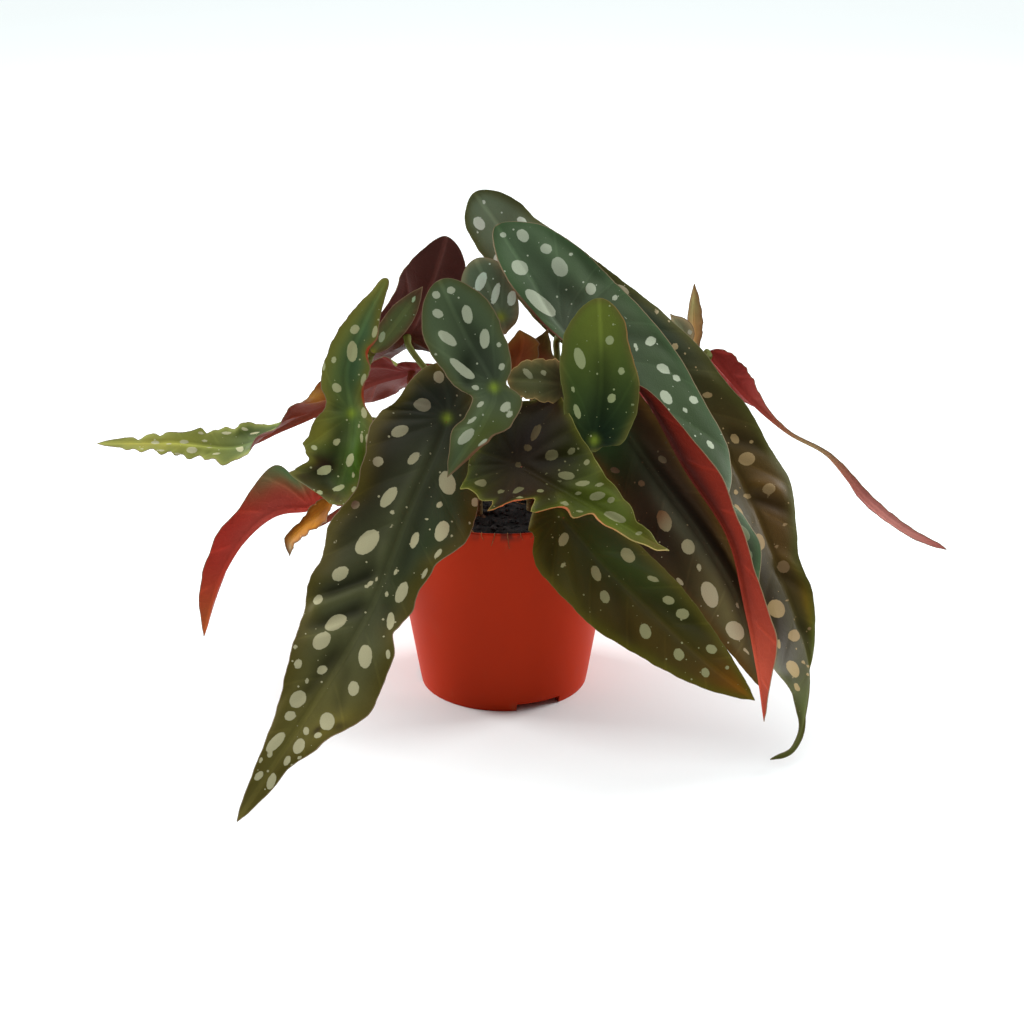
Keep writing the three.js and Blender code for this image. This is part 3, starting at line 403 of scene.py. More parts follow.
# %% Bays and bulges of the margins
MARGINS = {
    "leaf_front_left": [
        ("left", 20, 5, 16), ("left", 40, 1.5, 6), ("left", 67, 6.5, 13.5), ("left", 101, 1.5, 11.5),
        ("right", 58, 1.5, 5.5), ("right", 72, -2, 5.5), ("right", 94, 3, 5.5),
        ("right", 108, -2.5, 4.5), ("right", 145, 7.5, 15), ("right", 167, 1, 5.5),
        ("right", 180, -1.5, 6)],
    "leaf_left_bright": [
        ("left", -63, -4, 6.5), ("left", -55, -3.5, 7), ("left", -46, -3, 7.5),
        ("left", -37, -1.5, 6.5), ("left", -30, -1, 5.5), ("left", -23, -1, 4.5),
        ("left", -18, 0.5, 4.5), ("left", -12, 1, 5), ("left", -2, 3, 4.5), ("left", 5, 4.5, 5),
        ("left", 10, 1, 4.5), ("left", 17, 1.5, 6), ("left", 24, -2.5, 4.5), ("left", 28, -3, 2.5),
        ("left", 31, -3.5, 4), ("left", 44, 8.5, 5.5), ("right", -64, -2, 6), ("right", -56, -2, 6),
        ("right", -49, -1, 5), ("right", -34, -2, 3.5), ("right", -30, -1.5, 3.5),
        ("right", -12, -2, 5.5), ("right", -7, -1.5, 4), ("right", -2, -2, 3), ("right", 0, 1, 3.5),
        ("right", 6, 1, 6.5), ("right", 17, -0.5, 6), ("right", 32, -1.5, 4.5), ("right", 37, -2.5, 5),
        ("right", 53, 2, 7)],
    "leaf_young_centre": [
        ("left", -20, -0.5, 4.5), ("left", -14, 1, 5.5), ("left", -6, 1, 5.5), ("left", 0, -0.5, 6.5),
        ("left", 11, -1.5, 6), ("left", 15, -0.5, 3.5), ("left", 20, -0.5, 5), ("left", 28, 2.5, 5),
        ("left", 32, 1, 3), ("left", 36, 1, 3.5), ("left", 41, 0.5, 3.5), ("right", -14, 0.5, 5),
        ("right", -8, 0.5, 4), ("right", -4, -0.5, 3), ("right", -1, -2.5, 2.5),
        ("right", 1, -2.5, 2.5), ("right", 5, 3, 3), ("right", 9, 1, 2.5), ("right", 19, -0.5, 2),
        ("right", 21, -3, 3), ("right", 26, -2.5, 4.5), ("right", 32, -2, 5.5), ("right", 40, -1.5, 6)],
    "leaf_upright_right": [
        ("left", -21, -1.5, 7), ("right", -44, -3, 13.5)],
    "leaf_dark_right": [
        ("left", 12, 6, 19), ("left", 72, 7, 16.5)],
    "leaf_low_centre": [
        ("left", -13, 6, 4), ("left", -8, 3, 5), ("left", -1, 3, 4), ("left", 4, 5.5, 3),
        ("left", 10, 14, 2), ("left", 16, 2.5, 4), ("left", 26, 16, 3.5), ("left", 38, 4, 3),
        ("left", 43, -4.5, 3.5), ("left", 52, 2, 3.5), ("left", 75, 3, 4), ("right", -17, 12, 4.5),
        ("right", -10, 4.5, 4), ("right", -5, 11.5, 6), ("right", 4, 2.5, 7), ("right", 12, -1.5, 6.5),
        ("right", 20, 1.5, 7.5), ("right", 31, -0.5, 7.5), ("right", 39, -1.5, 5.5),
        ("right", 44, 2.5, 4.5), ("right", 50, 1, 4.5), ("right", 55, 0.5, 3.5), ("right", 59, -1.5, 3),
        ("right", 62, -3, 3), ("right", 66, -2, 3), ("right", 70, -1, 3.5), ("right", 75, -3, 4)],
    "leaf_low_right": [
        ("left", 0, -3.5, 5), ("left", 14, 1.5, 9), ("left", 52, 2, 13), ("right", 38, 1, 12)],
    "leaf_large_right": [
        ("left", -18, -2.5, 11), ("left", 2, -8.5, 17), ("left", 49, 4.5, 6), ("left", 58, 2, 6),
        ("left", 63, 6, 20.5), ("left", 115, -7.5, 15), ("left", 138, -4.5, 14),
        ("left", 162, -1.5, 8.5), ("midrib", 121, 5, 31.5), ("right", -50, 5, 11.5),
        ("right", -29, 3.5, 12), ("right", 0, -1.5, 11), ("right", 25, 2, 31), ("right", 82, 8.5, 20),
        ("right", 107, -6, 6), ("right", 120, -5, 13), ("right", 149, -5, 15)],
    "leaf_behind_right": [
        ("left", -66, 2.5, 8), ("left", 218, 11, 13.5), ("left", 236, 1.5, 6.5),
        ("right", -45, -3.5, 14), ("right", 76, -3, 12.5), ("right", 130, 5, 14.5),
        ("right", 165, -3.5, 11.5), ("right", 224, -6, 16.5)],
    "leaf_maroon_back": [
        ("right", -29, 2, 8.5)],
    "leaf_far_left": [
        ("left", 25, 7, 8), ("left", 107, 1.5, 5), ("left", 115, -1, 4), ("left", 120, 2.5, 3.5),
        ("left", 126, 0.5, 3.5), ("left", 130, -2, 2), ("left", 134, 1, 3), ("left", 140, -1.5, 3.5),
        ("left", 145, -1.5, 3), ("left", 150, -0.5, 3), ("left", 155, -2, 2.5), ("left", 160, 0.5, 3),
        ("left", 167, -2.5, 2.5), ("right", 44, 2.5, 10), ("right", 104, -3, 5.5),
        ("right", 110, -1, 4), ("right", 115, 3, 3), ("right", 121, -2, 3), ("right", 130, -3, 3),
        ("right", 135, 1, 2.5), ("right", 140, -1.5, 3), ("right", 143, 1, 2.5),
        ("right", 147, -1.5, 2.5), ("right", 151, 2.5, 2.5), ("right", 157, -1, 2),
        ("right", 163, 2.5, 3), ("right", 172, 1.5, 2.5)],
    "leaf_red_left": [
        ("left", 11, -5, 6.5), ("right", 15, 9, 6), ("right", 34, -3.5, 9), ("right", 53, -2, 7.5),
        ("right", 79, 1.5, 8.5)],
    "leaf_withered": [
        ("left", 21, -5, 13), ("right", 13, 3, 6.5)],
    "leaf_far_right": [
        ("left", 66, 1, 10), ("right", 59, -1, 13), ("right", 83, -1, 10.5),
        ("right", 130, -1.5, 14.5)],
    "stipule_left": [
        ("left", 13, 2, 7), ("left", 22, 3, 6), ("midrib", 24, 6, 12), ("right", 21, 8, 7)],
    "stipule_right": [
        ("left", 10, 2.5, 5), ("right", 10, 2.5, 5)],
}


def margin_bumps(name, side, along):
    """How far the bumps move one margin of a leaf, in mm, at each place along."""
    moved = np.zeros_like(along)
    for bump_side, at, out, reach in MARGINS.get(name, []):
        if bump_side == side:
            moved = moved + out * np.exp(-((along - at) / reach) ** 2)
    return moved


print("bays and bulges:", sum(map(len, MARGINS.values())))


# %% The grid of one blade
def blade_grid(name, leaf, look):
    """All that is known at every point of a blade's grid, by name."""
    t = blade_rows(leaf)
    last = len(leaf["spine"]) - 1
    table_t, table_length = length_table(leaf)
    along = np.interp(t, table_t, table_length)
    tipward = unit(spline(leaf["spine"], t + DIRECTION_STEP) - spline(leaf["spine"], t - DIRECTION_STEP))
    face = spread(leaf["face"], t / last)
    face = unit(face - tipward * np.sum(face * tipward, axis=1, keepdims=True))
    right = np.cross(face, tipward)

    lobe = np.minimum(t / LOBE_ROUNDING, 1)
    roundness = np.sqrt(1 - (1 - lobe) ** 2)
    to_tip = along[-1] - along
    taper = np.sqrt(np.clip((to_tip + 0.15) / TIP_TAPER, 0, 1))
    height, period = look.get("frill", (0.14, 13))
    widths = []
    for side, shift in (("left", 0.0), ("right", 2.4)):
        turn = 2 * math.pi * along / period + shift
        ragged = np.array([noise.noise(Vector((a / 5, shift, look["seed"]))) for a in along])
        frill = height * (np.sin(turn) + 0.5 * np.sin(2.3 * turn) + 1.2 * ragged)
        width = (spline(leaf[side], t)[:, 0] + margin_bumps(name, side, along)) * roundness
        widths.append(np.maximum(width + frill * np.clip(width / 12, 0, 1), 0.4) * taper)

    columns = 2 * max(5, round(max(map(max, widths)) / GRID_STEP)) + 1
    share = np.linspace(-1, 1, columns)[None, :]
    width = np.where(share < 0, widths[0][:, None], widths[1][:, None])
    reach = np.abs(share)
    fold = np.radians(spread(leaf["fold"], t / last))
    curl = np.radians(np.where(share < 0, leaf["curl"][0], leaf["curl"][1])) * reach
    curl = np.where(np.abs(curl) < 1e-4, 1e-4, curl)
    radius = width * reach / curl
    out = radius * (np.sin(fold + curl) - np.sin(fold))
    up = radius * (np.cos(fold) - np.cos(fold + curl))
    wave_height, wave_count, phase = leaf["wave"]
    turn = 2 * math.pi * (wave_count * (t / last)[:, None] + phase + np.where(share < 0, WAVE_SHIFT, 0))
    calm = np.minimum(1, width / WAVE_FULL_WIDTH)
    up = up + wave_height * calm * reach ** 2 * np.sin(turn)
    middle = spline(leaf["spine"], t)[:, None, :]
    middle[:, 0, 0] += margin_bumps(name, "midrib", along)
    sideways = (np.sign(share) * out)[..., None]
    middle = middle + right[:, None, :] * sideways + face[:, None, :] * up[..., None]

    across = share * width
    along = np.repeat(along[:, None], columns, axis=1)
    margin = np.minimum((1 - reach) * width, np.minimum(along - along[0, 0], to_tip[:, None]) + 0 * across)
    number, way, wide = vein_map(along, across, look.get("gap", 22), look["seed"])
    return {
        "t": np.repeat(t[:, None], columns, axis=1), "share": share + 0 * across, "middle": middle,
        "along": along, "across": across, "margin": margin, "to_tip": to_tip[:, None] + 0 * across,
        "number": number, "way": way, "wide": wide,
    }


# %% [markdown]
# ## Creases
#
# Between the veins an old blade puckers into long soft valleys and ridges. They are what makes a large
# leaf look alive, so the few strong ones are listed: from one place on the blade to another,
# both as along and across in mm, with a reach in mm and a rise that is negative for a valley. The
# relief and the paint both use them.

# %% Valleys and ridges
# Besides the relief, the creases also paint the blade: valleys darker as painted shade, ridges lighter as
# painted light.
CREASES = {
    "leaf_front_left": [
        (80, -3, 106, -24, 4.0, -1.0), (90, -5, 116, -27, 3.6, 0.6), (98, -3, 121, -19, 3.8, -1.0),
        (108, -5, 132, -22, 3.6, 0.5), (120, -3, 153, -7, 4.0, -0.9), (136, -6, 164, -14, 3.0, 0.4),
        (28, 5, 84, 7, 4.0, -0.5), (92, 4, 112, 16, 3.4, -0.4), (128, 4, 150, 12, 3.0, -0.4),
        (12, -4, 62, -5, 2.6, 0.5), (64, -5, 96, -3, 2.4, 0.5), (8, 6, 22, 26, 4.0, -0.4)],
    "leaf_large_right": [
        (-50, 4, -6, 14, 5.0, -0.4), (-42, 12, -4, 24, 5.0, 0.4), (10, 6, 44, 30, 4.0, -0.4),
        (-46, 22, -8, 32, 4.0, -0.3)],
    "leaf_behind_right": [
        (96, 4, 112, 20, 4.0, -0.7), (122, 2, 132, 19, 3.4, 0.6), (128, 0, 142, 18, 3.6, -0.8),
        (158, 0, 176, 15, 3.6, 0.5), (164, -2, 184, 14, 3.6, -0.6), (192, 0, 212, 8, 3.0, -0.5),
        (60, 8, 84, 22, 4.0, 0.5)],
    "leaf_dark_right": [
        (20, 3, 128, 4, 2.6, -0.9), (50, -5, 138, -5, 4.0, 0.8), (60, -14, 108, -18, 3.6, -0.4)],
    "leaf_low_right": [
        (12, -4, 40, -22, 4.0, 0.4), (24, 3, 62, 15, 4.0, 0.4), (40, -3, 72, -20, 4.0, -0.4),
        (52, 2, 92, 12, 4.0, -0.4)],
    "leaf_low_centre": [
        (6, 4, 22, 18, 3.6, -0.5), (24, -3, 34, -12, 3.0, 0.6), (26, 3, 50, 10, 3.0, 0.5)],
    "leaf_young_centre": [
        (-46, 2, -14, 4, 4.0, -0.5), (-22, -3, -2, -14, 4.0, -0.9), (-34, -8, -18, -14, 3.0, 0.4),
        (8, -2, 36, -6, 2.6, 0.4)],
    "leaf_left_bright": [
        (-8, 3, 30, 6, 3.0, 0.7), (4, -4, 34, -8, 4.0, -0.8), (-40, 2, -10, 2, 3.0, -0.4),
        (30, -12, 44, -4, 4.0, -0.7), (-10, -14, -1, -4, 2.4, -0.5)],
    "leaf_upright_right": [(-44, 0, -4, 1, 3.6, -0.5), (-30, -6, -6, -12, 4.0, 0.3)],
    "leaf_far_left": [(60, 3, 150, 1, 2.4, 0.5), (80, -5, 120, -8, 3.0, -0.4)],
}


def crease_map(name, grid):
    """How strongly each point of the blade belongs to a ridge, or, where negative, to a valley."""
    rise = np.zeros(grid["t"].shape)
    for along_1, across_1, along_2, across_2, reach, height in CREASES.get(name, []):
        way, drift = along_2 - along_1, across_2 - across_1
        x, y = grid["along"] - along_1, grid["across"] - across_1
        share = (x * way + y * drift) / (way ** 2 + drift ** 2)
        off = np.hypot(x - np.clip(share, 0, 1) * way, y - np.clip(share, 0, 1) * drift)
        fade = smooth_step(share, -0.15, 0.25) * (1 - smooth_step(share, 0.7, 1.2))
        rise = rise + height * fade * np.exp(-(off / reach) ** 2)
    return rise * smooth_step(grid["margin"], 0, 6)


print("creases:", sum(map(len, CREASES.values())))

# %% [markdown]
# ## Relief
#
# The veins are real grooves in the mesh, because they catch the light from far away. On the underside
# the same veins stand out as ribs. Fine grain is left to the finish, where it costs no triangles.

# %% Relief of the two faces
CREASE_HEIGHT = 2.2


def blade_relief(grid, look, crease):
    """Heights in mm of the upper and the lower face over the blade's middle surface."""
    depth = look.get("depth", 1.0)
    from_vein = np.abs(grid["number"] - np.round(grid["number"])) * grid["wide"]
    inside = smooth_step(grid["margin"], 1, 9) * smooth_step(grid["way"], 1, 8)
    groove = np.exp(-(from_vein / 1.5) ** 2) * inside
    field = 0.5 - 0.5 * np.cos(2 * math.pi * grid["number"])
    swell = field * np.clip(grid["wide"] / 14, 0, 1) * inside * smooth_step(grid["way"], 4, 26)
    keel = np.exp(-(grid["across"] / 1.7) ** 2) * smooth_step(grid["to_tip"], 0, 60)
    keel = keel * smooth_step(grid["along"], -4, 6)
    relief = depth * (0.75 * swell - 0.45 * groove - 0.8 * keel) + CREASE_HEIGHT * crease
    half = MARGIN_HALF_THICKNESS + (BLADE_HALF_THICKNESS - MARGIN_HALF_THICKNESS) * np.clip(
        grid["margin"] / 2, 0, 1)
    rib = 1.1 * np.exp(-(grid["across"] / 1.1) ** 2) * smooth_step(grid["to_tip"], 0, 70)
    rib = rib * smooth_step(grid["along"], -2, 6) + 0.3 * groove
    return relief + half, relief - half - rib


# %% [markdown]
# ## Paint
#
# Colours on a leaf run into each other like washes of watercolour: darker round the seat, olive
# towards the margin, brown or orange where the leaf ages. Some dark washes are painted shade, laid
# where other leaves or a fold shade the blade. Each wash here has a colour, a place on the
# blade (along in rows of the table, across from -1 at the left margin to 1 at the right) and a reach
# in both directions. The washes are stored on the mesh's points. Sharp marks come later, in the
# finish.

# %% Colours and washes
def linear(colour):
    """A colour in the usual 0 to 255 steps as the linear values that shaders work with."""
    values = np.array(colour, float) / 255
    return np.where(values <= 0.04045, values / 12.92, ((values + 0.055) / 1.055) ** 2.4)


def washed(base, washes, grid):
    """The base colour with each wash laid over it in turn."""
    paint = np.zeros(grid["t"].shape + (3,)) + linear(base)
    for colour, at, across, reach, reach_across in washes:
        far = ((grid["t"] - at) / reach) ** 2 + ((grid["share"] - across) / reach_across) ** 2
        paint = paint + (linear(colour) - paint) * np.exp(-far)[..., None]
    return paint


def bordered(paint, grid, border):
    """The paint with a soft band of another colour along the margin."""
    colour, width = border
    band = 0.85 * np.exp(-(grid["margin"] / width) ** 2)
    return paint + (linear(colour) - paint) * band[..., None]


print("orange in linear values:", linear((200, 90, 30)).round(3))

# %% [markdown]
# ## How each leaf looks
#
# No two leaves of this plant have the same colour: young ones are bright green, full-grown ones blue
# green, and old or shaded ones nearly black, brown or orange. The undersides are maroon to bright red.
# The table gives each leaf its colours, its washes, the gap between its side veins in mm, how far
# spots drawn by chance keep from the others, and a seed that makes its pattern its own.
#
# Most of the colours were first set by hand, and then moved by another program towards mean colours
# of a photograph. Colours chosen by eye would be a better example.

# %% Colours of each leaf
SILVER = (196, 202, 178)
CREAM = (206, 202, 172)
TAN_EDGE = (128, 110, 84)
LOOKS = {
    "leaf_front_left": {
        "seed": 1, "body": (75, 77, 49), "border": ((79, 70, 24), 7), "gap": 27, "spots": (175, 170, 134),
        # Painted shade: the near-black wash at 1.8 darkens the shaded strip along the left margin.
        "washes": [((37, 43, 34), 0.6, -0.2, 1.3, 1.4), ((26, 21, 13), 1.8, -0.9, 1.0, 0.5),
                   ((45, 55, 29), 2.3, 0.5, 0.9, 0.5), ((98, 92, 43), 5.2, 0.2, 0.9, 1.5),
                   ((133, 121, 45), 4.88, 0.8, 0.2, 0.3), ((36, 26, 13), 4.84, 0.85, 0.07, 0.14),
                   ((40, 29, 15), 4.97, 0.55, 0.06, 0.1), ((31, 24, 13), 4.9, 0.7, 0.03, 0.07),
                   ((177, 164, 92), 6.0, 0.0, 0.16, 2.0)],
        # Painted shade: the brown spot wash at 2.1 dims the spots in the shaded strip along the left
        # margin.
        "spot_washes": [((118, 115, 94), 0.8, -0.2, 0.8, 1.0), ((91, 67, 50), 2.1, -0.9, 0.5, 0.25)],
        "under": (120, 52, 46)},
    "leaf_left_bright": {
        "seed": 2, "body": (74, 92, 46), "border": ((107, 105, 42), 4), "gap": 20,
        "spots": (170, 173, 127),
        "washes": [((110, 119, 57), 1.0, -0.8, 1.6, 0.55), ((71, 100, 66), 1.4, 0.5, 1.2, 0.8),
                   ((121, 119, 44), 3.6, -0.9, 0.5, 0.5), ((47, 24, 11), 4.6, -0.6, 0.4, 0.55),
                   ((37, 18, 8), 5.3, -0.9, 0.45, 0.6), ((56, 84, 17), 4.4, 0.6, 1.0, 0.6),
                   ((62, 54, 3), 5.7, 0.0, 0.5, 2.0)], "under": (150, 40, 36), "frill": (0.2, 8),
        "turned": [((168, 52, 32), 1.45, 1.0, 0.3, 1.6), ((168, 52, 32), 2.6, 1.0, 0.3, 1.4)]},
    "leaf_young_centre": {
        "seed": 3, "body": (78, 92, 64), "border": ((76, 81, 46), 3), "gap": 20, "spots": (166, 172, 146),
        "washes": [((53, 62, 46), 1.6, 0.1, 0.8, 0.6), ((74, 83, 36), 3.4, 0.5, 0.8, 0.8)],
        "under": (150, 56, 44), "depth": 0.5,
        "turned": [((116, 76, 54), 4.0, 1.0, 0.9, 1.5)]},
    "leaf_upright_right": {
        "seed": 4, "body": (56, 74, 35), "border": ((96, 95, 45), 2.5), "gap": 24,
        "spots": (153, 162, 116),
        "washes": [((101, 113, 44), 0.3, 0.0, 1.2, 1.5), ((18, 34, 21), 3.0, 0.2, 1.1, 0.9)],
        "under": (150, 60, 44), "rim": (112, 116, 62), "depth": 0.4,
        "turned": [((158, 116, 70), 0.9, 1.0, 0.9, 0.3)]},
    "leaf_dark_right": {
        "seed": 5, "body": (53, 37, 22), "border": ((104, 79, 35), 4), "gap": 26,
        "spots": (173, 168, 128),
        "washes": [((71, 72, 56), 3.0, -0.1, 3.0, 0.22), ((108, 100, 64), 4.2, -0.5, 0.9, 0.5),
                   ((47, 81, 44), 1.2, -0.5, 0.5, 0.6)],
        "spot_washes": [((72, 51, 35), 1.0, 0.5, 1.5, 1.2), ((86, 63, 47), 1.4, -0.5, 0.8, 0.8),
                   ((117, 72, 39), 2.3, -0.5, 0.35, 0.8), ((54, 40, 27), 2.6, 0.8, 1.4, 0.5),
                   ((211, 201, 164), 4.2, -0.4, 1.0, 0.8)], "under": (110, 44, 40), "rim": (84, 74, 40),
        "scatter": 22},
    "leaf_low_centre": {
        "seed": 6, "body": (78, 91, 23), "border": ((79, 81, 23), 3), "gap": 20, "spots": (132, 134, 94),
        # Partly painted shade: the near-black and dark maroon washes up to 1.5 are the lobe's own dark
        # brown and also shade under the leaves above it.
        "washes": [((20, 13, 6), 0.9, 0.3, 1.7, 1.6), ((38, 24, 6), 1.5, -0.5, 0.7, 0.8),
                   ((47, 15, 8), 0.7, 1.1, 0.6, 0.3), ((81, 72, 21), 4.6, 0.0, 0.6, 2.0),
                   ((119, 89, 37), 5.0, 0.0, 0.14, 2.0)],
        # Partly painted shade: this spot wash dims the spots on the dark, shaded lobe.
        "spot_washes": [((69, 57, 35), 0.8, 0.2, 1.1, 1.2)], "under": (196, 88, 48),
        "rim": (128, 128, 66), "seat": 0.0,
        "turned": [((186, 88, 58), 1.6, -1.0, 0.2, 2.0), ((190, 92, 58), 2.4, -1.0, 0.16, 1.8),
                   ((186, 124, 82), 3.2, -1.0, 0.55, 1.6), ((180, 158, 100), 4.6, -1.0, 0.6, 1.0)]},
    "leaf_low_right": {
        "seed": 7, "body": (58, 56, 20), "border": ((86, 80, 22), 3.5), "gap": 24, "spots": (145, 144, 103),
        "washes": [((48, 61, 25), 2.3, 0.3, 1.0, 0.6), ((73, 59, 19), 3.2, -0.5, 0.9, 0.6),
                   ((126, 75, 15), 5.0, 0.0, 0.7, 2.0)], "under": (120, 50, 40), "rim": (96, 90, 44),
        "seat": 0.15, "scatter": 18},
    "leaf_large_right": {
        "seed": 8, "body": (75, 91, 64), "border": ((60, 83, 50), 4), "gap": 27, "spots": (173, 183, 159),
        "washes": [((81, 101, 72), 0.4, 0.0, 1.0, 2.0), ((78, 90, 73), 2.2, 0.1, 1.0, 0.5),
                   ((52, 70, 38), 4.2, 0.5, 1.4, 0.8), ((30, 35, 9), 5.1, 0.3, 0.9, 0.9)],
        "spot_washes": [((74, 82, 44), 5.0, 0.3, 0.8, 1.2)], "under": (137, 42, 26),
        # Partly painted shade: the two dark maroon washes are the underside's own maroon and also shade
        # where the red face turns away.
        "under_washes": [((82, 20, 18), 2.4, -0.4, 1.2, 1.5), ((63, 18, 12), 3.4, -0.1, 2.2, 0.35),
                         ((174, 71, 49), 7.0, 0.0, 0.9, 2.0)], "rim": (140, 122, 94), "frill": (0.08, 12),
        "depth": 0.45, "seat": 0.0, "scatter": 16,
        "turned": [((84, 26, 20), 1.7, -1.0, 0.6, 1.1)]},
    "leaf_behind_right": {
        "seed": 9, "body": (63, 61, 31), "border": ((73, 73, 31), 4), "gap": 27, "spots": (152, 131, 88),
        "washes": [((112, 127, 100), 0.4, 0.0, 1.3, 2.0), ((43, 54, 39), 2.9, 0.4, 0.8, 0.9),
                   # Painted shade: the near-black wash at 6.3 darkens the left half, where the right lamp
                   # would light it.
                   ((79, 57, 23), 5.3, 0.4, 1.0, 0.7), ((39, 28, 7), 6.3, -0.7, 1.2, 0.5),
                   ((153, 109, 14), 6.35, 0.9, 0.3, 0.3), ((81, 114, 13), 7.1, 0.95, 0.7, 0.3),
                   ((77, 85, 36), 7.9, 0.0, 0.5, 1.0), ((92, 97, 37), 9.5, 0.0, 1.2, 2.0)],
        "spot_washes": [((209, 221, 203), 0.8, 0.0, 1.6, 2.0), ((126, 102, 70), 6.0, 0.4, 1.3, 1.0)],
        "under": (118, 52, 50), "rim": (112, 106, 74), "frill": (0.12, 13), "depth": 0.7, "seat": 0.0,
        "scatter": 15},
    "leaf_maroon_back": {
        "seed": 10, "body": (60, 78, 54), "border": ((80, 92, 50), 4), "gap": 24, "spots": SILVER,
        "washes": [], "under": (78, 47, 41),
        "under_washes": [((93, 30, 21), 3.4, 0.0, 1.3, 2.0)], "depth": 0.5, "scatter": 15},
    "leaf_far_left": {
        "seed": 11, "body": (113, 124, 54), "border": ((130, 134, 66), 3), "gap": 20,
        "spots": (174, 172, 135),
        "washes": [((72, 88, 49), 4.6, 0.0, 0.8, 2.0), ((146, 141, 62), 6.8, 0.0, 1.2, 2.0)],
        "under": (121, 54, 35),
        "under_washes": [((125, 54, 51), 1.0, 0.0, 1.2, 2.0), ((182, 131, 38), 2.68, 0.85, 0.17, 0.4)],
        "frill": (0.25, 6), "scatter": 22},
    "leaf_red_left": {
        "seed": 12, "body": (46, 57, 31), "border": ((66, 73, 33), 3), "gap": 22, "spots": SILVER,
        "washes": [], "under": (168, 49, 37),
        "under_washes": [((169, 70, 59), 2.2, 0.0, 1.2, 0.5), ((88, 112, 71), 1.55, 0.95, 0.6, 0.4),
                         ((180, 92, 45), 5.0, 0.0, 0.8, 2.0)], "scatter": 15},
    "leaf_withered": {
        "seed": 13, "body": (184, 122, 38), "border": ((107, 56, 14), 2), "gap": 12,
        "spots": (214, 150, 80),
        "washes": [((178, 164, 132), 2.9, 0.0, 0.6, 2.0), ((123, 72, 21), 0.5, 0.4, 0.4, 0.6)],
        "under": (184, 112, 40),
        "under_washes": [((190, 150, 100), 2.9, 0.0, 0.6, 2.0)], "frill": (1.0, 6), "depth": 1.6},
    "leaf_small_olive": {
        "seed": 14, "body": (90, 95, 60), "border": ((132, 118, 74), 2.5), "gap": 16,
        "spots": (156, 161, 127),
        "washes": [((38, 27, 22), 2.4, 0.0, 1.0, 1.0)], "under": (120, 60, 44), "rim": (190, 160, 104),
        "frill": (0.6, 7)},
    "leaf_far_right": {
        "seed": 15, "body": (90, 96, 56), "border": ((110, 96, 60), 2), "gap": 16, "spots": None,
        "washes": [((176, 148, 108), 3.6, 0.0, 0.9, 2.0), ((186, 84, 84), 5.6, 0.0, 1.2, 2.0)],
        "under": (140, 50, 44),
        "under_washes": [((150, 132, 92), 3.6, 0.0, 0.8, 2.0), ((191, 125, 115), 5.8, 0.0, 1.2, 2.0)],
        "frill": (0.5, 9)},
    "leaf_small_centre": {
        "seed": 16, "body": (88, 107, 82), "border": ((128, 129, 96), 3), "gap": 18,
        "spots": (195, 221, 199),
        "washes": [], "under": (140, 50, 46), "depth": 0.5, "scatter": 15},
    "leaf_small_left": {
        "seed": 17, "body": (88, 106, 63), "border": ((91, 75, 53), 2), "gap": 13,
        "spots": (159, 191, 150),
        "washes": [((60, 29, 26), 2.9, 0.0, 0.5, 2.0)], "under": (130, 60, 50)},
    "leaf_bud_right": {
        "seed": 18, "body": (206, 172, 116), "border": ((150, 110, 70), 2), "gap": 12, "spots": None,
        "washes": [((186, 176, 118), 1.4, 0.0, 0.5, 2.0)], "under": (190, 152, 104), "frill": (0.5, 7)},
    "leaf_young_right": {
        "seed": 19, "body": (126, 130, 98), "border": ((190, 170, 126), 2), "gap": 12, "spots": SILVER,
        "washes": [], "under": (134, 80, 62), "scatter": 12},
    "stipule_left": {
        "seed": 20, "body": (146, 80, 40), "border": ((128, 92, 40), 4), "gap": 12, "spots": None,
        "washes": [((120, 60, 34), 0.4, 0.0, 0.6, 2.0)], "under": (168, 64, 40), "frill": (0.6, 6)},
    "stipule_right": {
        "seed": 21, "body": (96, 88, 44), "border": ((120, 110, 60), 2), "gap": 12, "spots": None,
        "washes": [((136, 78, 50), 0.5, 0.0, 0.7, 2.0)], "under": (170, 90, 48), "frill": (0.7, 6)},
    "leaf_back_right": {
        "seed": 22, "body": (54, 70, 48), "border": ((88, 96, 48), 6), "gap": 27, "spots": CREAM,
        "washes": [((44, 54, 42), 1.2, 0.0, 1.0, 1.0), ((96, 100, 50), 3.8, 0.0, 0.8, 2.0)],
        "under": (140, 44, 40), "scatter": 15},
    "leaf_back_left": {
        "seed": 23, "body": (62, 90, 68), "border": ((80, 104, 66), 5), "gap": 25, "spots": SILVER,
        "washes": [((50, 72, 60), 1.4, 0.0, 1.0, 0.8)], "under": (150, 42, 38), "scatter": 15},
    "leaf_back_low": {
        "seed": 24, "body": (50, 56, 36), "border": ((92, 92, 44), 5), "gap": 22, "spots": CREAM,
        "washes": [((60, 48, 32), 2.6, 0.5, 1.0, 0.8)], "under": (128, 46, 40), "scatter": 15},
}
print("looks:", len(LOOKS), "all named:", set(LOOKS) == set(LEAVES))


# %% [markdown]
# ## Polka dots
#
# The large spots are ovals on the blade. The table gives each one's place along and across the blade,
# its half length and half width, and its turn in degrees from the midrib. Where a blade is hidden,
# spots of the same kind are drawn by a seeded chance, well away from the others.
#
# Nearly all rows of this table were written by another program, which looked for pale patches in a
# photograph and fitted an oval to each. Spots drawn by a rule, or a short list chosen by hand, would
# be a better example.

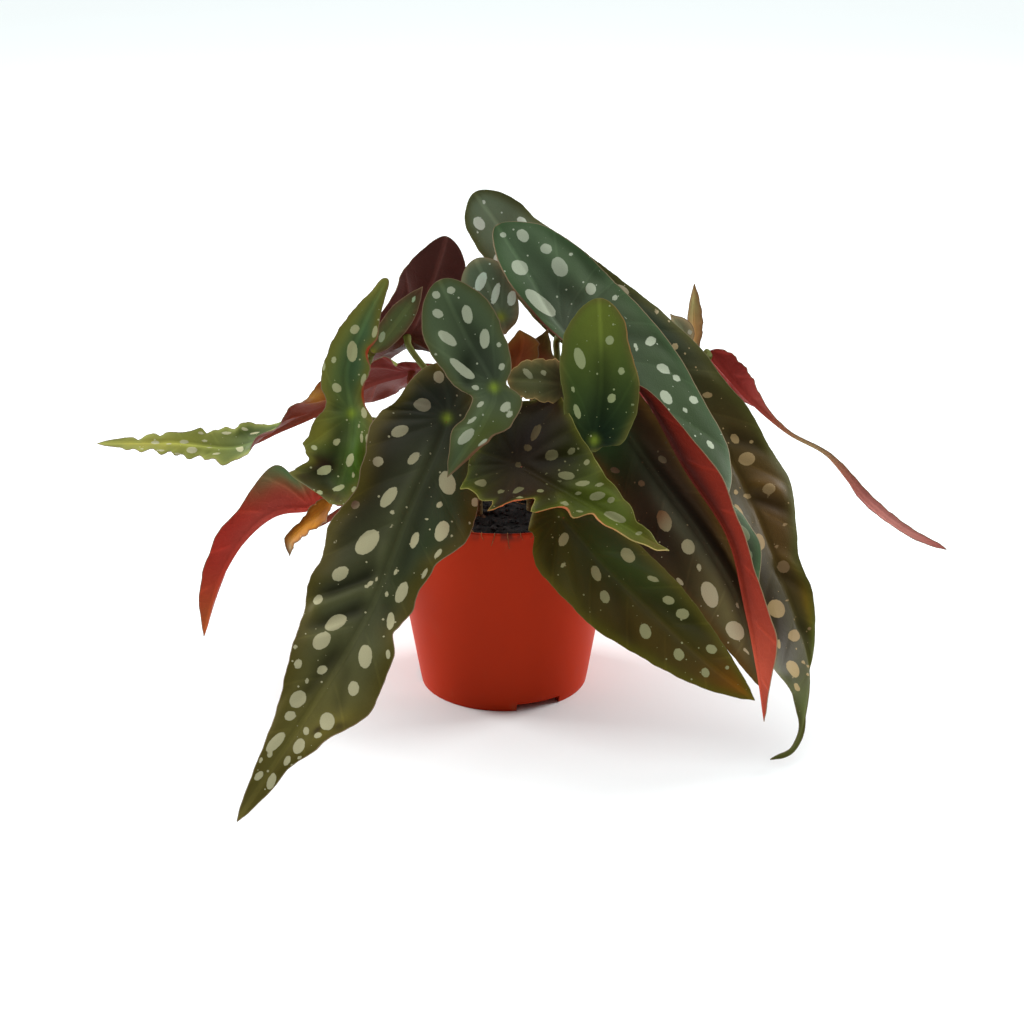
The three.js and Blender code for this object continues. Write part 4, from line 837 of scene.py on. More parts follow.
# %% Spot table
SPOTS = {
    "leaf_behind_right": [
        (-66, 1, 1.0, 0.7, -25), (-59, -7, 3.4, 2.4, -5), (36, 22, 1.7, 0.8, -85),
        (51, 13, 2.0, 1.4, -90), (77, 8, 2.4, 1.4, 55), (101, 8, 2.5, 2.1, 0), (106, 15, 1.2, 0.9, 85),
        (112, 8, 4.5, 3.2, 80), (124, -7, 1.8, 1.2, -65), (128, -1, 2.9, 1.3, 75),
        (129, 11, 3.5, 2.4, 80), (133, -11, 3.6, 1.4, 15), (133, 10, 0.9, 0.5, 70),
        (147, 12, 1.6, 0.9, -80), (151, -6, 4.3, 3.7, -40), (156, 3, 1.4, 0.9, -70),
        (166, 3, 3.1, 2.7, 30), (182, -2, 1.9, 0.6, 90), (184, -11, 5.4, 4.6, 85),
        (198, 5, 1.0, 0.9, -80), (199, -6, 4.6, 2.9, -85), (201, -19, 2.8, 1.2, -30),
        (210, -9, 1.0, 0.5, -80), (211, -5, 1.0, 0.5, -90), (213, -5, 1.8, 0.8, 70),
        (215, -1, 1.5, 0.8, -85), (216, -15, 5.7, 4.6, 55), (219, -2, 1.6, 0.8, 80),
        (226, -12, 3.3, 1.8, 70),
    ],
    "leaf_dark_right": [
        (31, -15, 2.3, 1.4, 45), (39, 7, 2.6, 1.6, 25), (43, -8, 1.7, 1.6, -25), (64, -10, 5.5, 3.1, -15),
        (81, -8, 3.7, 2.9, -10), (92, -9, 1.9, 1.0, -20), (93, -20, 2.4, 1.1, 10),
        (106, -11, 6.8, 3.6, -5), (116, -1, 1.2, 0.8, -10), (127, -6, 5.1, 3.8, 25),
        (137, -4, 1.0, 0.7, 30), (139, -3, 1.0, 0.6, 35),
    ],
    "leaf_far_left": [
        (101, -7, 3.0, 0.6, 0), (107, -10, 2.4, 0.8, -20), (108, 3, 3.0, 1.7, -40), (119, -9, 3.0, 0.9, 0),
        (121, 5, 2.2, 0.7, 10), (126, 1, 1.5, 0.7, 20), (130, -3, 1.6, 0.7, 0), (133, -7, 1.6, 0.8, 0),
        (135, 4, 2.9, 1.9, 0), (141, -1, 2.4, 1.1, 5), (142, 7, 2.0, 0.7, 0), (149, 1, 1.5, 0.8, 0),
        (152, 6, 2.6, 0.7, 0), (157, 0, 2.4, 1.1, -5), (163, 5, 1.2, 0.5, 0),
    ],
    "leaf_front_left": [
        (-21, -1, 3.0, 2.5, -20), (-7, -12, 5.4, 4.0, 10), (-6, -28, 1.6, 0.5, 0),
        (15, -19, 4.8, 2.7, -35), (26, -8, 3.9, 2.0, -15), (31, 11, 6.1, 3.7, 35), (34, 26, 2.6, 1.7, 5),
        (35, -22, 2.5, 2.4, 15), (43, 12, 2.0, 1.3, -10), (47, 28, 1.1, 0.7, -5),
        (48, -11, 5.6, 2.6, -15), (52, 9, 1.0, 0.6, 90), (54, -7, 1.1, 1.0, -70), (56, 18, 5.5, 3.1, 5),
        (56, -24, 2.0, 1.9, -15), (57, 23, 0.9, 0.6, -25), (60, -5, 0.9, 0.7, -20), (63, 7, 4.2, 1.8, 5),
        (67, 20, 2.5, 1.1, -20), (71, -13, 7.0, 4.2, -20), (75, -27, 1.2, 0.7, -10),
        (77, 17, 2.6, 0.9, -10), (80, 4, 1.6, 0.8, -5), (86, -3, 1.3, 0.6, 10), (88, 10, 4.9, 2.4, 0),
        (89, -5, 1.6, 1.1, -20), (90, -19, 4.5, 2.8, -25), (91, -6, 1.0, 1.0, -50), (91, 4, 1.2, 0.9, 10),
        (102, 11, 4.4, 1.7, 25), (107, -23, 2.8, 2.0, -5), (113, -11, 5.6, 3.4, -25),
        (116, 18, 2.0, 1.0, 30), (121, 9, 5.5, 3.0, 30), (124, -12, 4.9, 3.3, -10),
        (133, -20, 1.2, 0.9, -10), (135, -5, 2.5, 1.9, -25), (136, 12, 3.5, 2.4, 35),
        (139, -15, 2.1, 1.7, 5), (143, -8, 1.2, 0.9, 15), (152, -7, 4.2, 3.2, -10),
        (154, 10, 4.1, 3.3, 45), (160, -6, 2.5, 2.1, -45), (161, 10, 1.8, 1.3, -50),
        (162, 4, 1.9, 1.4, 45), (169, 5, 3.5, 2.5, 10), (173, -5, 5.6, 2.3, -10), (173, 8, 1.1, 0.7, -40),
        (177, 4, 2.2, 1.4, 10), (179, -4, 1.2, 1.0, -25), (183, -6, 1.2, 0.8, 15), (188, 3, 3.6, 1.8, 15),
        (189, -3, 2.4, 1.4, -10),
    ],
    "leaf_large_right": [
        (-54, 0, 1.5, 1.3, 50), (-49, 8, 3.3, 2.6, 5), (-38, 14, 2.8, 2.5, 50), (-37, -2, 4.3, 3.7, 50),
        (-30, 23, 1.1, 0.8, 90), (-28, 15, 4.3, 3.5, 0), (-18, -2, 9.3, 3.5, 25), (-10, 24, 4.3, 2.8, 0),
        (12, 31, 1.7, 1.5, 45), (21, 25, 1.0, 0.3, -15), (31, 15, 2.3, 0.9, -55), (34, 23, 3.4, 1.5, 85),
        (43, 17, 2.9, 1.9, 65), (48, 20, 1.9, 1.4, 70), (53, 9, 3.4, 2.8, 5), (58, 22, 2.4, 1.8, 80),
        (61, 15, 1.4, 1.1, 5), (79, 20, 2.3, 1.7, 15),
    ],
    "leaf_left_bright": [
        (-43, 6, 2.9, 1.2, 10), (-40, -3, 2.4, 2.0, -15), (-30, 0, 4.9, 2.5, 20), (-24, -7, 1.3, 1.3, 65),
        (-21, -11, 1.3, 0.8, 5), (-16, 8, 3.9, 1.2, -10), (-13, -5, 2.4, 1.9, 50), (0, 6, 2.4, 1.4, 0),
        (7, 4, 1.2, 0.5, 5), (13, 6, 2.2, 0.7, 10), (13, 9, 2.7, 1.3, 10), (15, -6, 2.3, 1.5, -30),
        (20, -16, 1.8, 1.5, 45), (23, 2, 3.2, 1.9, -10), (26, 9, 2.3, 0.9, 0), (29, 5, 1.3, 0.7, 10),
        (32, -9, 4.1, 2.5, -35), (36, 7, 1.6, 1.0, -5), (39, 0, 4.2, 1.4, -30), (48, -7, 1.9, 1.5, -25),
    ],
    "leaf_low_centre": [
        (-6, -22, 3.9, 2.7, -65), (-2, 19, 5.2, 1.7, -80), (-1, 10, 2.1, 1.7, -40), (0, 0, 1.8, 1.4, -60),
        (5, -21, 2.8, 1.1, 90), (10, 12, 3.1, 2.3, 55), (10, -14, 3.8, 1.6, 85), (14, 3, 1.0, 0.5, 60),
        (14, -19, 1.8, 1.2, 40), (16, 19, 2.1, 1.3, 80), (18, -8, 1.8, 1.4, 80), (21, 3, 0.9, 0.6, 25),
        (22, 7, 4.0, 2.1, 25), (26, 18, 2.1, 1.4, -65), (31, -9, 1.9, 1.4, 60), (31, 7, 3.3, 1.7, 35),
        (32, 2, 1.6, 0.7, 40), (38, -7, 1.8, 0.8, 40), (38, 10, 2.0, 0.9, 50), (40, 5, 3.5, 1.8, 45),
        (46, 7, 1.8, 1.3, 70), (52, 1, 5.2, 2.1, 10), (65, 0, 1.7, 0.9, 55), (80, 0, 1.1, 0.6, 30),
    ],
    "leaf_low_right": [
        (-9, 1, 3.2, 1.2, 25), (-3, -11, 1.3, 0.7, -65), (11, -7, 3.7, 2.2, -55),
        (21, -15, 1.6, 1.0, -65), (33, -6, 4.1, 2.1, -25), (36, 11, 4.3, 3.1, -15),
        (44, -11, 3.3, 2.2, -35), (53, 11, 2.9, 1.2, 25), (65, 9, 2.8, 1.9, 25), (68, -9, 3.7, 2.5, -30),
        (74, 9, 3.0, 2.4, 35), (86, -6, 2.9, 2.3, -30), (95, 6, 2.6, 2.1, 15), (100, -4, 2.2, 1.8, -40),
        (106, 4, 0.9, 0.9, -10),
    ],
    "leaf_small_centre": [
        (-19, -2, 5.0, 2.3, -45), (-11, 2, 5.5, 1.7, -40), (-6, 8, 3.6, 2.0, -35),
    ],
    "leaf_small_left": [
        (9, 1, 2.8, 1.4, 20), (33, 0, 1.7, 0.8, 15),
    ],
    "leaf_small_olive": [
        (-20, 3, 3.1, 1.4, -45), (-13, 4, 1.6, 1.2, -30),
    ],
    "leaf_upright_right": [
        (-46, 4, 2.1, 1.9, -15), (-38, -10, 5.1, 2.4, 15), (-32, 9, 1.7, 1.6, -25),
        (-23, -13, 1.8, 0.8, 15), (-20, 5, 2.2, 1.8, -40), (-18, 15, 0.9, 0.8, -15),
        (-12, -10, 3.7, 1.4, 25),
    ],
    "leaf_withered": [
        (10, -4, 0.9, 0.7, -25),
    ],
    "leaf_young_centre": [
        (-50, -4, 1.9, 1.7, 30), (-49, 3, 1.9, 1.7, 65), (-42, -7, 2.6, 1.9, 35), (-36, 5, 4.4, 2.4, -15),
        (-30, -8, 4.9, 2.3, 25), (-26, -16, 0.9, 0.6, 35), (-22, 7, 4.9, 2.3, -30),
        (-16, 11, 1.2, 1.1, -55), (-15, -9, 7.2, 2.3, 20), (-7, 7, 1.7, 1.3, -60), (-3, -8, 2.2, 1.4, 20),
        (8, 6, 2.5, 1.8, -45), (10, 9, 1.5, 1.2, -35), (11, -5, 2.3, 1.1, -15), (20, -5, 2.9, 0.9, -20),
        (26, 5, 2.4, 0.9, -15), (28, -3, 4.7, 2.1, -10),
    ],
}
print("spots in the table:", sum(map(len, SPOTS.values())))


# %% Spots by chance, and the distance to the nearest spot
SPOT_SIZES = [(4.6, 2.9), (3.0, 2.0), (2.6, 2.0), (1.3, 1.0)]
SPOT_TRIES = 260
SEAT_GREEN = (120, 140, 46)


def chance_spots(grid, given, look):
    """Spots for the hidden parts of a blade."""
    apart = look.get("scatter")
    if apart is None:
        return []
    chance = random.Random(look["seed"])
    rows, columns = grid["t"].shape
    spots = []
    for _ in range(SPOT_TRIES):
        i, j = chance.randrange(rows), chance.randrange(columns)
        along, across = grid["along"][i, j], grid["across"][i, j]
        half_length, half_width = chance.choice(SPOT_SIZES)
        size = chance.uniform(0.8, 1.2)
        turn = math.copysign(chance.uniform(5, 35), across)
        inside = grid["margin"][i, j] > half_width + 1 and abs(across) > half_width + 1
        clear = all(math.hypot(along - s[0], across - s[1]) > apart for s in given)
        clear = clear and all(math.hypot(along - s[0], across - s[1]) > 7 + s[2] for s in spots)
        if inside and clear:
            spots.append((along, across, half_length * size, half_width * size, turn))
    return spots


def spot_gap(grid, spots):
    """Distance in mm from each point of the grid to the nearest spot's outline, negative inside."""
    gap = np.full(grid["t"].shape, 5.0)
    for along, across, half_length, half_width, turn in spots:
        x, y = grid["along"] - along, grid["across"] - across
        c, s = math.cos(math.radians(turn)), math.sin(math.radians(turn))
        size = np.hypot((x * c + y * s) / half_length, (y * c - x * s) / half_width)
        gap = np.minimum(gap, (size - 1) * math.sqrt(half_length * half_width))
    return gap


def with_seat(paint, grid, share):
    """The paint with the pale green spot where the stalk joins."""
    near = share * np.exp(-(grid["along"] ** 2 + grid["across"] ** 2) / 2.4 ** 2)
    return paint + (linear(SEAT_GREEN) - paint) * near[..., None]

# %% [markdown]
# ## Shader maths in plain expressions
#
# A finish is a network of nodes. Wiring each of them by hand hides the idea behind the wiring, so a
# small class wraps a socket: plus, minus, times and divided by then add Math nodes by themselves, and
# a mask can be written as 1 - spots. Colours go through Mix nodes, because a Math node would turn
# them grey.

# %% Sockets with arithmetic
class Wire:
    """A node's output that can be added, subtracted, multiplied and divided."""

    def __init__(self, finish, socket):
        self.finish = finish
        self.socket = socket

    def maths(self, operation, *values):
        return self.finish.node("ShaderNodeMath", {"operation": operation}, dict(enumerate(values)))

    def __add__(self, other):
        return self.maths("ADD", self, other)

    def __radd__(self, other):
        return self.maths("ADD", other, self)

    def __sub__(self, other):
        return self.maths("SUBTRACT", self, other)

    def __rsub__(self, other):
        return self.maths("SUBTRACT", other, self)

    def __mul__(self, other):
        return self.maths("MULTIPLY", self, other)

    def __rmul__(self, other):
        return self.maths("MULTIPLY", other, self)

    def __truediv__(self, other):
        return self.maths("DIVIDE", self, other)

    def __pow__(self, other):
        return self.maths("POWER", self, other)

    def most(self, other):
        return self.maths("MAXIMUM", self, other)

    def from_whole(self):
        """How far the value is from the nearest whole number."""
        return self.maths("PINGPONG", self, 0.5)


# %% Finishes
class Finish:
    """A material and its nodes."""

    def __init__(self, name):
        self.material = bpy.data.materials.new(name)
        self.material.use_nodes = True
        self.tree = self.material.node_tree
        self.tree.nodes.clear()

    def node(self, kind, settings=None, inputs=None, output=0):
        """Adds a node, sets it up, fills or links its inputs, and returns one of its outputs."""
        node = self.tree.nodes.new(kind)
        for name, value in (settings or {}).items():
            setattr(node, name, value)
        for name, value in (inputs or {}).items():
            if isinstance(value, Wire):
                self.tree.links.new(value.socket, node.inputs[name])
            elif node.inputs[name].type == "RGBA":
                node.inputs[name].default_value = (*value, 1)
            else:
                node.inputs[name].default_value = value
        return Wire(self, node.outputs[output]) if len(node.outputs) else None

    def stored(self, name, output="Vector"):
        """What was stored on the mesh's points under this name."""
        return self.node("ShaderNodeAttribute", {"attribute_name": name}, output=output)

    def parts(self, vector):
        """The three numbers of a vector."""
        first = self.node("ShaderNodeSeparateXYZ", inputs={0: vector})
        return [Wire(self, socket) for socket in first.socket.node.outputs]

    def place(self, x, y, z=0.0):
        """A vector of three numbers."""
        return self.node("ShaderNodeCombineXYZ", inputs={0: x, 1: y, 2: z})

    def soft(self, value, low, high):
        """0 at low, 1 at high, and a smooth change between them."""
        return self.node("ShaderNodeMapRange", {"interpolation_type": "SMOOTHSTEP"}, {
            "Value": value, "From Min": low, "From Max": high, "To Min": 0.0, "To Max": 1.0})

    def mixed(self, share, first, second):
        """The first colour, with a share of the second."""
        return self.node("ShaderNodeMix", {"data_type": "RGBA"}, {0: share, 6: first, 7: second}, 2)

    def shaded(self, colour, brightness):
        """The colour made lighter or darker by a number."""
        return self.node("ShaderNodeVectorMath", {"operation": "SCALE"}, {0: colour, "Scale": brightness})

    def grain(self, vector, scale, detail=2.0):
        """Soft random values round a half."""
        return self.node("ShaderNodeTexNoise", None, {"Vector": vector, "Scale": scale, "Detail": detail})

    def cells(self, vector, randomness, output):
        """The nearest of many scattered points."""
        return self.node("ShaderNodeTexVoronoi", {"voronoi_dimensions": "2D"}, {
            "Vector": vector, "Scale": 1.0, "Randomness": randomness}, output)

    def raised(self, height, distance, strength=1.0):
        """A surface normal that makes height, in units of distance metres, stand out."""
        return self.node("ShaderNodeBump", None, {
            "Height": height, "Distance": distance, "Strength": strength})

    def finished(self, **inputs):
        """Ends the tree in one shader and returns the material."""
        named = {name.replace("_", " "): value for name, value in inputs.items()}
        shader = self.node("ShaderNodeBsdfPrincipled", None, named)
        self.node("ShaderNodeOutputMaterial", None, {"Surface": shader})
        return self.material


print("finishes are ready")

# %% [markdown]
# ## The upper face of a leaf
#
# The outline of each large spot comes from the mesh, as the distance to it in millimetres. The finish
# turns that distance into a crisp edge with a little raggedness. Tiny dots between the spots are a
# Voronoi texture: one scattered point for each field, and a radius from the field's random colour.

# %% Upper finish
DOT_STEP = 7.5
SPECK_STEP = 4.2


def dot_mask(finish, along, across, step, largest, chance_from):
    """1 inside small round dots, scattered step mm apart."""
    field = finish.place(along / step, across / step)
    distance = finish.cells(field, 1.0, "Distance")
    chance, size, _ = finish.parts(finish.cells(field, 1.0, "Color"))
    radius = (0.35 + 0.65 * size) * (largest / step)
    chosen = finish.soft(chance, chance_from, chance_from + 0.01)
    return (1 - finish.soft(distance / radius, 0.75, 1.1)) * chosen


def upper_finish():
    finish = Finish("leaf_upper")
    tint = finish.stored("tint", "Color")
    spot_tint = finish.stored("spot_tint", "Color")
    rim_tint = finish.stored("rim_tint", "Color")
    spotted = finish.stored("spotted", "Fac")
    margin = finish.stored("margin", "Fac")
    along, across, seed = finish.parts(finish.stored("blade_place"))
    number, way, wide = finish.parts(finish.stored("vein_place"))
    skin = finish.place(along, across, seed)

    ragged = finish.grain(skin, 0.7)
    outline = finish.stored("spot_gap", "Fac") + (ragged - 0.5) * 0.7
    spots = 1 - finish.soft(outline, -0.18, 0.18)
    dots = dot_mask(finish, along + seed * 17.0, across, DOT_STEP, 0.6, 0.78)
    specks = dot_mask(finish, along + seed * 31.0, across, SPECK_STEP, 0.3, 0.88)
    pale = spots.most(dots).most(specks * 0.8) * spotted

    cloud = finish.grain(skin, 0.06, 3.0)
    grain = finish.grain(skin, 1.6, 3.0)
    vein = (1 - finish.soft(number.from_whole() * wide, 0.25, 0.9)) * finish.soft(way, 2.0, 8.0)
    keel = 1 - finish.soft(across * across, 0.5, 2.2)
    brightness = 0.84 + 0.34 * cloud + 0.16 * (grain - 0.5) + 0.16 * vein + 0.22 * keel
    colour = finish.shaded(tint, brightness)
    fleck = 0.78 + 0.46 * finish.grain(skin, 3.0, 2.0)
    colour = finish.mixed(pale, colour, finish.shaded(spot_tint, fleck))
    colour = finish.mixed((1 - finish.soft(margin, 0.35, 0.75)) * 0.85, colour, rim_tint)

    height = 0.6 * grain + 0.5 * pale + 0.4 * finish.grain(skin, 0.45, 2.0)
    return finish.finished(
        Base_Color=colour, Roughness=0.4 + 0.16 * grain + 0.06 * pale,
        Normal=finish.raised(height, 0.12 * MM), Specular_IOR_Level=0.08)


leaf_upper = upper_finish()
print("upper finish:", len(leaf_upper.node_tree.nodes), "nodes")

# %% [markdown]
# ## The underside
#
# Underneath, the same leaf is maroon to bright red, with raised veins that are a little paler than
# the fields. The spots hardly show from this side, so they are left out.

# %% Underside finish
def under_finish():
    finish = Finish("leaf_under")
    tint = finish.stored("tint", "Color")
    rim_tint = finish.stored("rim_tint", "Color")
    margin = finish.stored("margin", "Fac")
    along, across, seed = finish.parts(finish.stored("blade_place"))
    number, way, wide = finish.parts(finish.stored("vein_place"))
    skin = finish.place(along, across, seed)
    cloud = finish.grain(skin, 0.07, 3.0)
    grain = finish.grain(skin, 1.4, 3.0)
    vein = (1 - finish.soft(number.from_whole() * wide, 0.2, 1.3)) * finish.soft(way, 2.0, 8.0)
    keel = 1 - finish.soft(across * across, 0.6, 2.5)
    net = finish.node("ShaderNodeTexVoronoi", {"voronoi_dimensions": "2D", "feature": "DISTANCE_TO_EDGE"}, {
        "Vector": finish.place(along, across), "Scale": 0.28, "Randomness": 1.0})
    small_vein = 1 - finish.soft(net, 0.02, 0.12)
    brightness = 0.82 + 0.34 * cloud + 0.14 * (grain - 0.5) + 0.22 * vein + 0.26 * keel + 0.05 * small_vein
    colour = finish.shaded(tint, brightness)
    colour = finish.mixed((1 - finish.soft(margin, 0.35, 0.8)) * 0.7, colour, rim_tint)
    height = 0.5 * grain + 0.8 * vein + 0.35 * small_vein
    return finish.finished(
        Base_Color=colour, Roughness=0.42 + 0.18 * grain,
        Normal=finish.raised(height, 0.14 * MM), Specular_IOR_Level=0.08)


leaf_under = under_finish()
print("underside finish:", len(leaf_under.node_tree.nodes), "nodes")

# %% [markdown]
# ## From grids to blades
#
# A blade is closed: an upper sheet, a lower sheet and a narrow rim between them. Both sheets share
# one mesh but have their own points, so that each can carry its own paint.

# %% Meshes with stored paint
def mesh_piece(name, points, faces, finishes, finish_of=None, smooth_angle=50):
    """A smooth mesh object in metres from points in mm."""
    mesh = bpy.data.meshes.new(name)
    mesh.from_pydata((np.asarray(points) * MM).tolist(), [], faces)
    for finish in finishes:
        mesh.materials.append(finish)
    if finish_of is not None:
        mesh.polygons.foreach_set("material_index", finish_of)
    mesh.shade_smooth()
    mesh.set_sharp_from_angle(angle=math.radians(smooth_angle))
    mesh.update()
    piece = bpy.data.objects.new(name, mesh)
    bpy.context.scene.collection.objects.link(piece)
    return piece


def store(piece, name, values):
    """Keeps a number or a vector for each point of the mesh."""
    values = np.asarray(values, float)
    kind, field = ("FLOAT", "value") if values.ndim == 1 else ("FLOAT_VECTOR", "vector")
    piece.data.attributes.new(name, kind, "POINT").data.foreach_set(field, values.ravel())


def store_colour(piece, name, colours):
    """Keeps a colour for each point of the mesh."""
    opaque = np.concatenate([colours, np.ones((len(colours), 1))], axis=1)
    piece.data.attributes.new(name, "FLOAT_COLOR", "POINT").data.foreach_set("color", opaque.ravel())


def sheet_faces(rows, columns, first):
    """Four-sided faces between the points of a grid whose numbers start at first."""
    i, j = np.meshgrid(np.arange(rows - 1), np.arange(columns - 1), indexing="ij")
    corner = (first + i * columns + j).ravel()
    return np.stack([corner, corner + columns, corner + columns + 1, corner + 1], axis=1)


def border_of(rows, columns):
    """The numbers of a grid's outer points, once round."""
    start = list(range(columns))
    right = [i * columns + columns - 1 for i in range(1, rows)]
    end = [(rows - 1) * columns + j for j in reversed(range(columns - 1))]
    left = [i * columns for i in reversed(range(1, rows - 1))]
    return np.array(start + right + end + left)


# %% One blade
# How far crease valleys darken the upper paint (painted shade) and ridges lighten it (painted light).
CREASE_PAINTED_SHADE_AND_LIGHT = 0.65
RIM_WIDTH = 0.7


def make_blade(name, leaf, look):
    grid = blade_grid(name, leaf, look)
    rows, columns = grid["t"].shape
    normal = unit(np.cross(np.gradient(grid["middle"], axis=0), np.gradient(grid["middle"], axis=1)))
    crease = crease_map(name, grid)
    upper, lower = blade_relief(grid, look, crease)
    points = np.concatenate([
        (grid["middle"] + normal * upper[..., None]).reshape(-1, 3),
        (grid["middle"] + normal * lower[..., None]).reshape(-1, 3)])
    points[:, 2] = np.maximum(points[:, 2], LOWEST_POINT)
    count = rows * columns
    top = sheet_faces(rows, columns, 0)
    bottom = sheet_faces(rows, columns, count)[:, ::-1]
    ring = border_of(rows, columns)
    after = np.roll(ring, -1)
    rim = np.stack([ring, after, after + count, ring + count], axis=1)
    faces = np.concatenate([top, bottom, rim])
    finish_of = np.repeat([0, 1, 0], [len(top), len(bottom), len(rim)])
    piece = mesh_piece(name + "_blade", points, faces.tolist(), [leaf_upper, leaf_under], finish_of)

    upper_paint = bordered(washed(look["body"], look["washes"], grid), grid, look["border"])
    upper_paint = with_seat(upper_paint, grid, look.get("seat", 0.9))
    # Painted shade in the crease valleys and painted light on their ridges.
    upper_paint = upper_paint * (1 + CREASE_PAINTED_SHADE_AND_LIGHT * crease)[..., None]
    under_paint = washed(look["under"], look.get("under_washes", []), grid)
    turned = look.get("turned", [])
    rim_paint = washed(look.get("rim", TAN_EDGE), [
        (colour, at, side, reach, 0.8) for colour, at, side, reach, wide in turned], grid)
    rim_wide = RIM_WIDTH + sum(
        wide * np.exp(-((grid["t"] - at) / reach) ** 2) * (grid["share"] * side > 0)
        for colour, at, side, reach, wide in turned)
    spot_paint = washed(look["spots"] or SILVER, look.get("spot_washes", []), grid)
    store_colour(piece, "tint", np.concatenate([upper_paint.reshape(-1, 3), under_paint.reshape(-1, 3)]))
    store_colour(piece, "spot_tint", np.tile(spot_paint.reshape(-1, 3), (2, 1)))
    store_colour(piece, "rim_tint", np.tile(rim_paint.reshape(-1, 3), (2, 1)))
    gap = spot_gap(grid, SPOTS.get(name, []) + chance_spots(grid, SPOTS.get(name, []), look))
    store(piece, "spot_gap", np.tile(gap.ravel(), 2))
    store(piece, "spotted", np.full(2 * count, 0.0 if look["spots"] is None else 1.0))
    store(piece, "margin", np.tile((grid["margin"] / rim_wide).ravel(), 2))
    place = np.stack([grid["along"], grid["across"], np.full_like(grid["along"], look["seed"])], axis=-1)
    store(piece, "blade_place", np.tile(place.reshape(-1, 3), (2, 1)))
    veins = np.stack([grid["number"], grid["way"], grid["wide"]], axis=-1)
    store(piece, "vein_place", np.tile(veins.reshape(-1, 3), (2, 1)))
    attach(piece, "root")
    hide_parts(name)
    return piece


blades = [make_blade(name, leaf, LOOKS[name]) for name, leaf in LEAVES.items()]
print("blades:", len(blades), "faces:", sum(len(blade.data.polygons) for blade in blades))

# %% [markdown]
# ## Canes and stalks
#
# The canes of this begonia look like thin bamboo: green brown, with a swollen ring wherever a leaf has
# grown. Leaf stalks are round, fleshy and greener or redder, a little thicker at both ends. A tube is
# swept along each line, and its points remember how far along they are, for the finish.

# %% Tubes
CANES = [
    {"name": "cane_left", "line": [[-14, -12, 48], [-14, -12, 80], [-14, -12, 100], [-15, -13, 130],
                                   [-14, -14, 155], [-12, -15, 178]]},
    {"name": "cane_right", "line": [[15, -6, 48], [15, -6, 80], [15, -6, 100], [17, -9, 128],
                                    [16, -15, 150], [14, -22, 170]]},
    {"name": "cane_back", "line": [[0, 18, 48], [0, 18, 80], [0, 18, 100], [2, 18, 124],
                                   [6, 16, 146], [10, 14, 164]]},
]
CANE_RADIUS = 4
CANE_TOP_RADIUS = 2.6
CANE_NODES = 7
CANE_NODE_SWELL = 0.8
STALK_RADIUS = 1.6
STALK_APPROACH = 9
CANE_GREEN = (104, 88, 52)
STALK_GREEN = (84, 90, 30)
STALK_RED = (126, 62, 42)
PORE_TAN = (176, 160, 116)


def tube(line, radius_at, sides, step):
    """Points, faces, and the way along in mm and round in parts of a turn, of a tube along a line."""
    last = len(line) - 1
    fine = np.linspace(0, last, 40 * last + 1)
    length = np.concatenate([[0], np.cumsum(np.linalg.norm(np.diff(spline(line, fine), axis=0), axis=1))])
    rings = max(4, round(length[-1] / step))
    along = np.linspace(0, length[-1], rings + 1)
    t = np.interp(along, length, fine)
    centres = spline(line, t)
    ahead = unit(spline(line, t + DIRECTION_STEP) - spline(line, t - DIRECTION_STEP))
    side = np.array([1.0, 0.0, 0.0])
    points = []
    turn = 2 * math.pi * np.arange(sides) / sides
    for centre, way, share in zip(centres, ahead, along / length[-1]):
        side = unit(side - way * np.dot(side, way))
        other = np.cross(way, side)
        radius = radius_at(share)
        points.append(centre + radius * (np.cos(turn)[:, None] * side + np.sin(turn)[:, None] * other))
    faces = []
    for i in range(rings):
        for k in range(sides):
            a, b = i * sides + k, i * sides + (k + 1) % sides
            faces.append((a, b, b + sides, a + sides))
    faces.append(tuple(reversed(range(sides))))
    faces.append(tuple(range(rings * sides, (rings + 1) * sides)))
    unused = np.zeros((rings + 1) * sides)
    place = np.stack([np.repeat(along, sides), np.tile(turn, rings + 1), unused], axis=1)
    return np.concatenate(points), faces, place


def on_line(line, height):
    """The point of a line at a height."""
    t = np.linspace(0, len(line) - 1, 400)
    points = spline(line, t)
    return points[min(np.searchsorted(points[:, 2], height), len(t) - 1)]


# %% Finish of canes and stalks
def stem_finish():
    finish = Finish("begonia_stem")
    tint = finish.stored("tint", "Color")
    along, turn, woody = finish.parts(finish.stored("stem_place"))
    skin = finish.place(along, turn * 2.0, woody)
    streak = finish.grain(finish.place(along * 0.12, turn * 3.0, woody), 1.0, 3.0)
    grain = finish.grain(skin, 0.9, 3.0)
    pores = finish.cells(finish.place(along / 3.0, turn * 1.6), 1.0, "Distance")
    pore = (1 - finish.soft(pores, 0.08, 0.16)) * woody
    colour = finish.shaded(tint, 0.7 + 0.42 * streak + 0.3 * (grain - 0.2))
    colour = finish.mixed(pore * 0.6, colour, linear(PORE_TAN))
    height = 0.5 * grain + 0.6 * streak + 0.5 * pore
    return finish.finished(
        Base_Color=colour, Roughness=0.4 + 0.2 * grain,
        Normal=finish.raised(height, 0.2 * MM), Specular_IOR_Level=0.15)


stem = stem_finish()
print("stem finish:", len(stem.node_tree.nodes), "nodes")


# %% A cane and the stalks that grow from it
def stalk_line(leaf, cane):
    """From inside the cane to the seat under the blade, meeting it square on."""
    last = len(leaf["spine"]) - 1
    seat = spline(leaf["spine"], float(leaf["seat"]))
    after, before = leaf["seat"] + DIRECTION_STEP, leaf["seat"] - DIRECTION_STEP
    ahead = unit(spline(leaf["spine"], after) - spline(leaf["spine"], before))
    face = spread(leaf["face"], np.array(leaf["seat"] / last))
    face = unit(face - ahead * np.dot(face, ahead))
    start = on_line(cane["line"], leaf["stalk"]["height"])
    return [start, *map(np.array, leaf["stalk"]["by"]), seat - STALK_APPROACH * face, seat - 0.2 * face]


